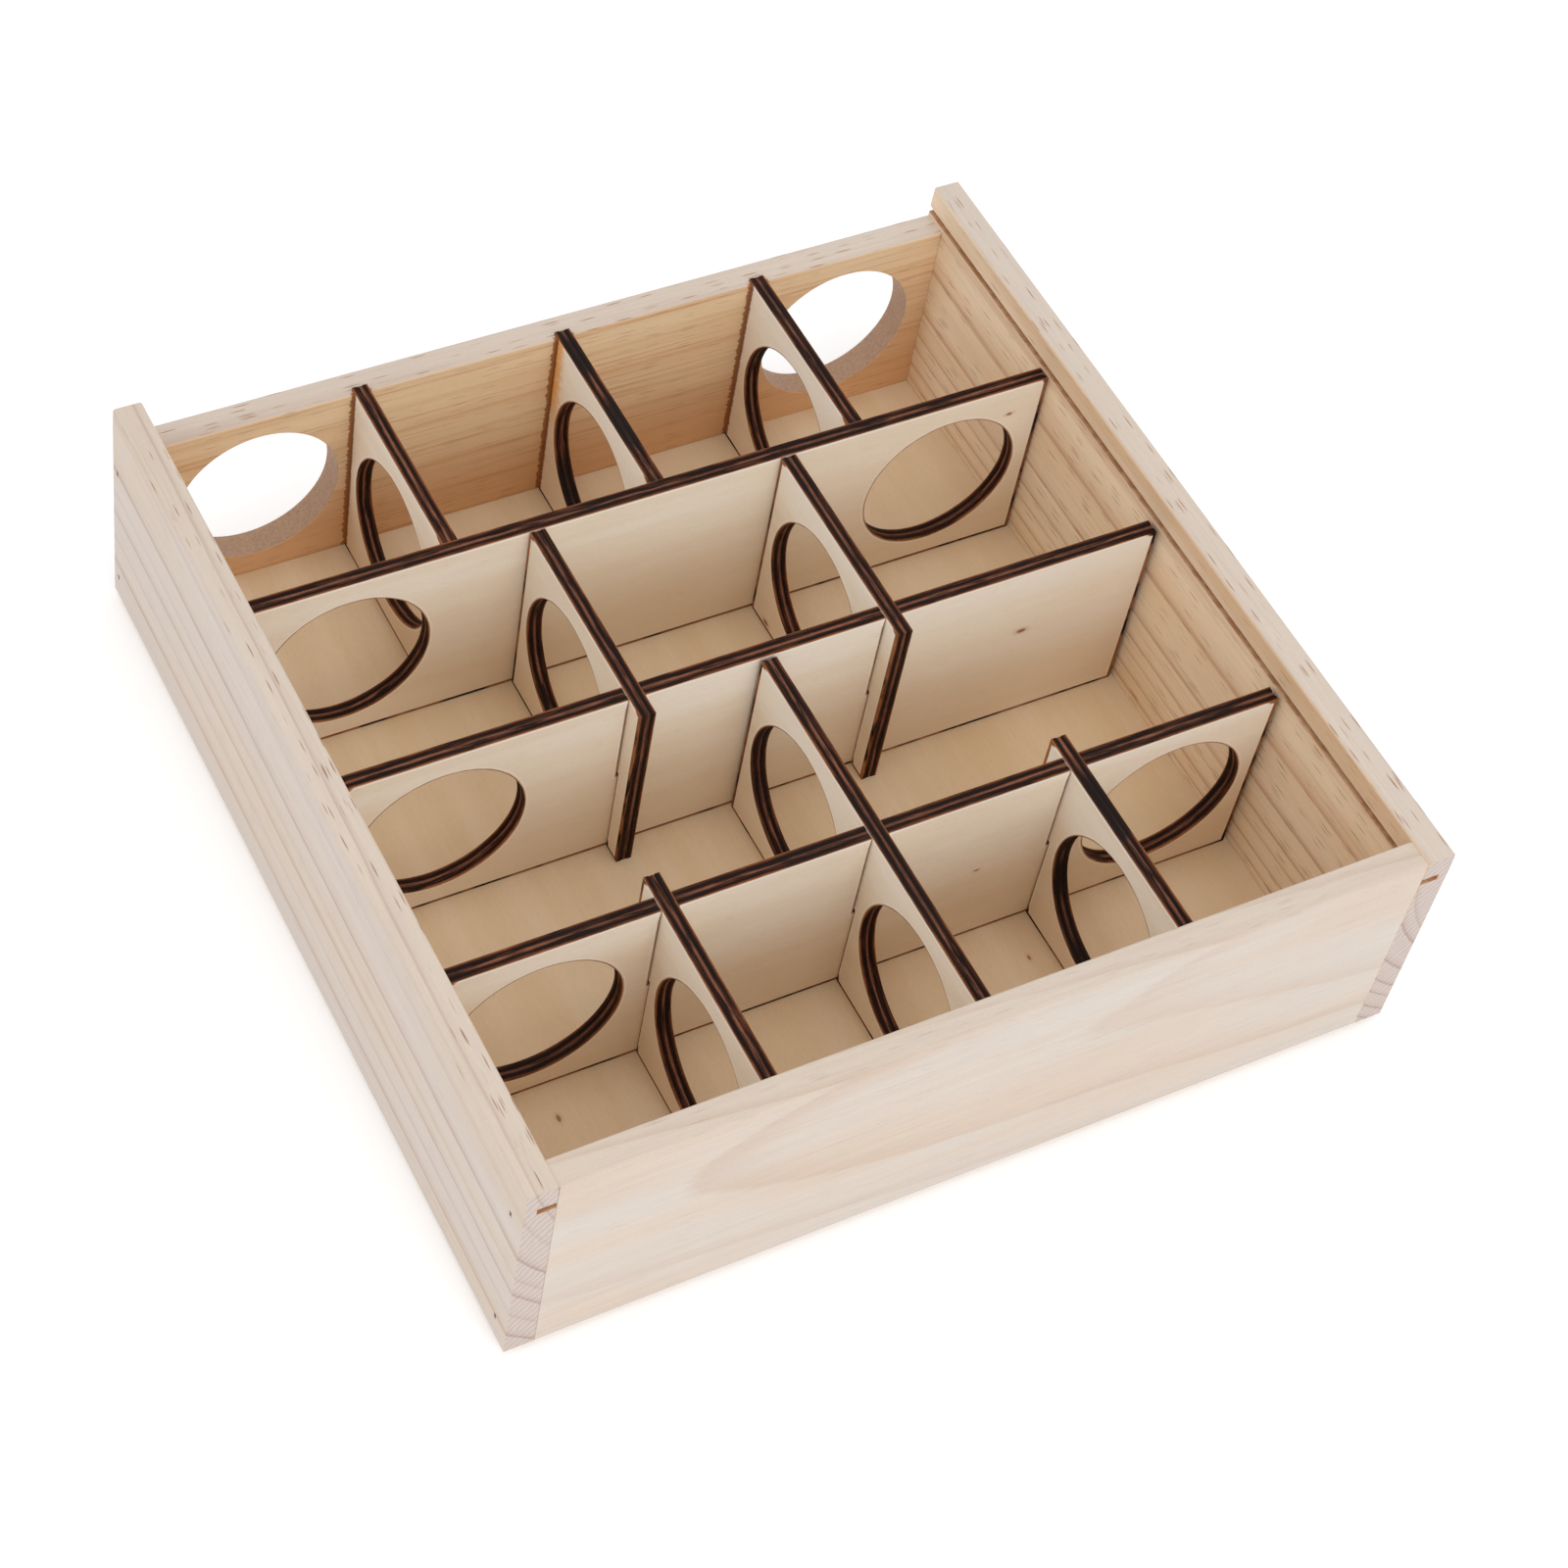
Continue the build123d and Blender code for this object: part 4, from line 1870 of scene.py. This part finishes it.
@dataclass(frozen=True)
class Lamp:
    """A square soft lamp: where it stands in millimetres, and its power in watts."""

    name: str
    place: tuple[float, float, float]
    power: float


@dataclass
class Studio:
    """A pale floor, soft lights and the camera. None of it is part of the box."""

    floor_radius: float = 6000.0
    floor_gap: float = 0.1
    floor_spokes: int = 96
    floor_rings: int = 12
    lamp_size: float = 1000.0
    lamp_aim: tuple[float, float, float] = (0.0, 0.0, 40.0)
    lamps: tuple[Lamp, ...] = (
        Lamp("front_softbox", (0.0, -1905.0, 1140.0), 9.7),
        Lamp("side_softbox", (-1905.0, 0.0, 1140.0), 3.4),
        Lamp("top_softbox", (0.0, -190.0, 2230.0), 7.2),
    )
    camera_place: tuple[float, float, float] = (-383.64, -518.28, 833.13)
    camera_azimuth: float = -34.972
    camera_elevation: float = 51.053
    camera_roll: float = 10.664
    lens: float = 81.641
    sensor: float = 36.0
    rise_and_cross: tuple[float, float] = (0.0601, -0.0431)
    clip: tuple[float, float] = (0.05, 50.0)
    paper: str = "f8f8f8"
    paper_light: str = "fafafa"
    paper_glow: float = 0.26
    surround: float = 0.72
    tone_gamma: float = 1.15

    def floor(self) -> None:
        """A round pale floor: rings and spokes, at radius x (cos turn, sin turn)."""
        turn = np.linspace(0, 2 * math.pi, self.floor_spokes + 1)
        reach = np.linspace(0, 1, self.floor_rings + 1)[:, None] ** 2 * self.floor_radius
        level = np.full((len(reach), len(turn)), -self.floor_gap)
        grid = np.stack([reach * np.cos(turn), reach * np.sin(turn), level], axis=-1)
        face = weld([Patchwork(grid.reshape(-1, 3), grid_squares(*grid.shape[:2]))])
        ground = make_object("studio_floor", face.points, face.squares)
        sheet = NodeSheet("studio_paper")
        mottle = sheet.mottle(0.02)
        colour = sheet.blend(mottle, tint(self.paper), tint(self.paper_light))
        paper = sheet.finish(colour, 0.9, mottle, 0.01, gloss=0.1, glow=self.paper_glow)
        ground.data.materials.append(paper)

    def light(self, lamp: Lamp) -> None:
        """Stands up a lamp, aimed at the middle of the box.

        Args:
            lamp: The lamp.
        """
        light = bpy.data.lights.new(lamp.name, "AREA")
        light.shape = "SQUARE"
        light.size = self.lamp_size * MM
        light.energy = lamp.power
        stand = bpy.data.objects.new(lamp.name, light)
        bpy.context.scene.collection.objects.link(stand)
        stand.location = Vector(lamp.place) * MM
        aim = Vector(self.lamp_aim) * MM - stand.location
        stand.rotation_euler = aim.to_track_quat("-Z", "Y").to_euler()

    def sky(self) -> None:
        """An even white surround."""
        world = bpy.data.worlds.new("studio_surround")
        world.use_nodes = True
        background = world.node_tree.nodes["Background"]
        background.inputs[0].default_value = WHITE
        background.inputs[1].default_value = self.surround
        bpy.context.scene.world = world

    def camera(self) -> None:
        """The camera, looking down on the front left corner, rolled a little."""
        data = bpy.data.cameras.new("studio_camera")
        data.lens = self.lens
        data.sensor_width = self.sensor
        data.shift_x, data.shift_y = self.rise_and_cross
        data.clip_start, data.clip_end = self.clip
        camera = bpy.data.objects.new("studio_camera", data)
        bpy.context.scene.collection.objects.link(camera)
        turn, rise = math.radians(self.camera_azimuth), math.radians(self.camera_elevation)
        back = Vector((math.sin(turn) * math.cos(rise), -math.cos(turn) * math.cos(rise),
                       math.sin(rise)))
        level = Vector((0, 0, 1)).cross(back).normalized()
        frame_axes = Matrix((level, back.cross(level), back)).transposed().to_4x4()
        roll = Matrix.Rotation(math.radians(self.camera_roll), 4, "Z")
        camera.matrix_world = Matrix.Translation(Vector(self.camera_place) * MM) @ frame_axes @ roll
        bpy.context.scene.camera = camera

    def build(self) -> None:
        """Sets up the whole studio."""
        self.floor()
        self.sky()
        for lamp in self.lamps:
            self.light(lamp)
        self.camera()
        view = bpy.context.scene.view_settings
        view.view_transform = "Standard"
        view.gamma = self.tone_gamma


def main() -> None:
    """Builds the box and its studio in order."""
    logging.basicConfig(level=logging.INFO, format="%(name)s: %(message)s")
    Carcase().build()
    DividerSet().build()
    Studio().build()


if __name__ == "__main__":
    main()
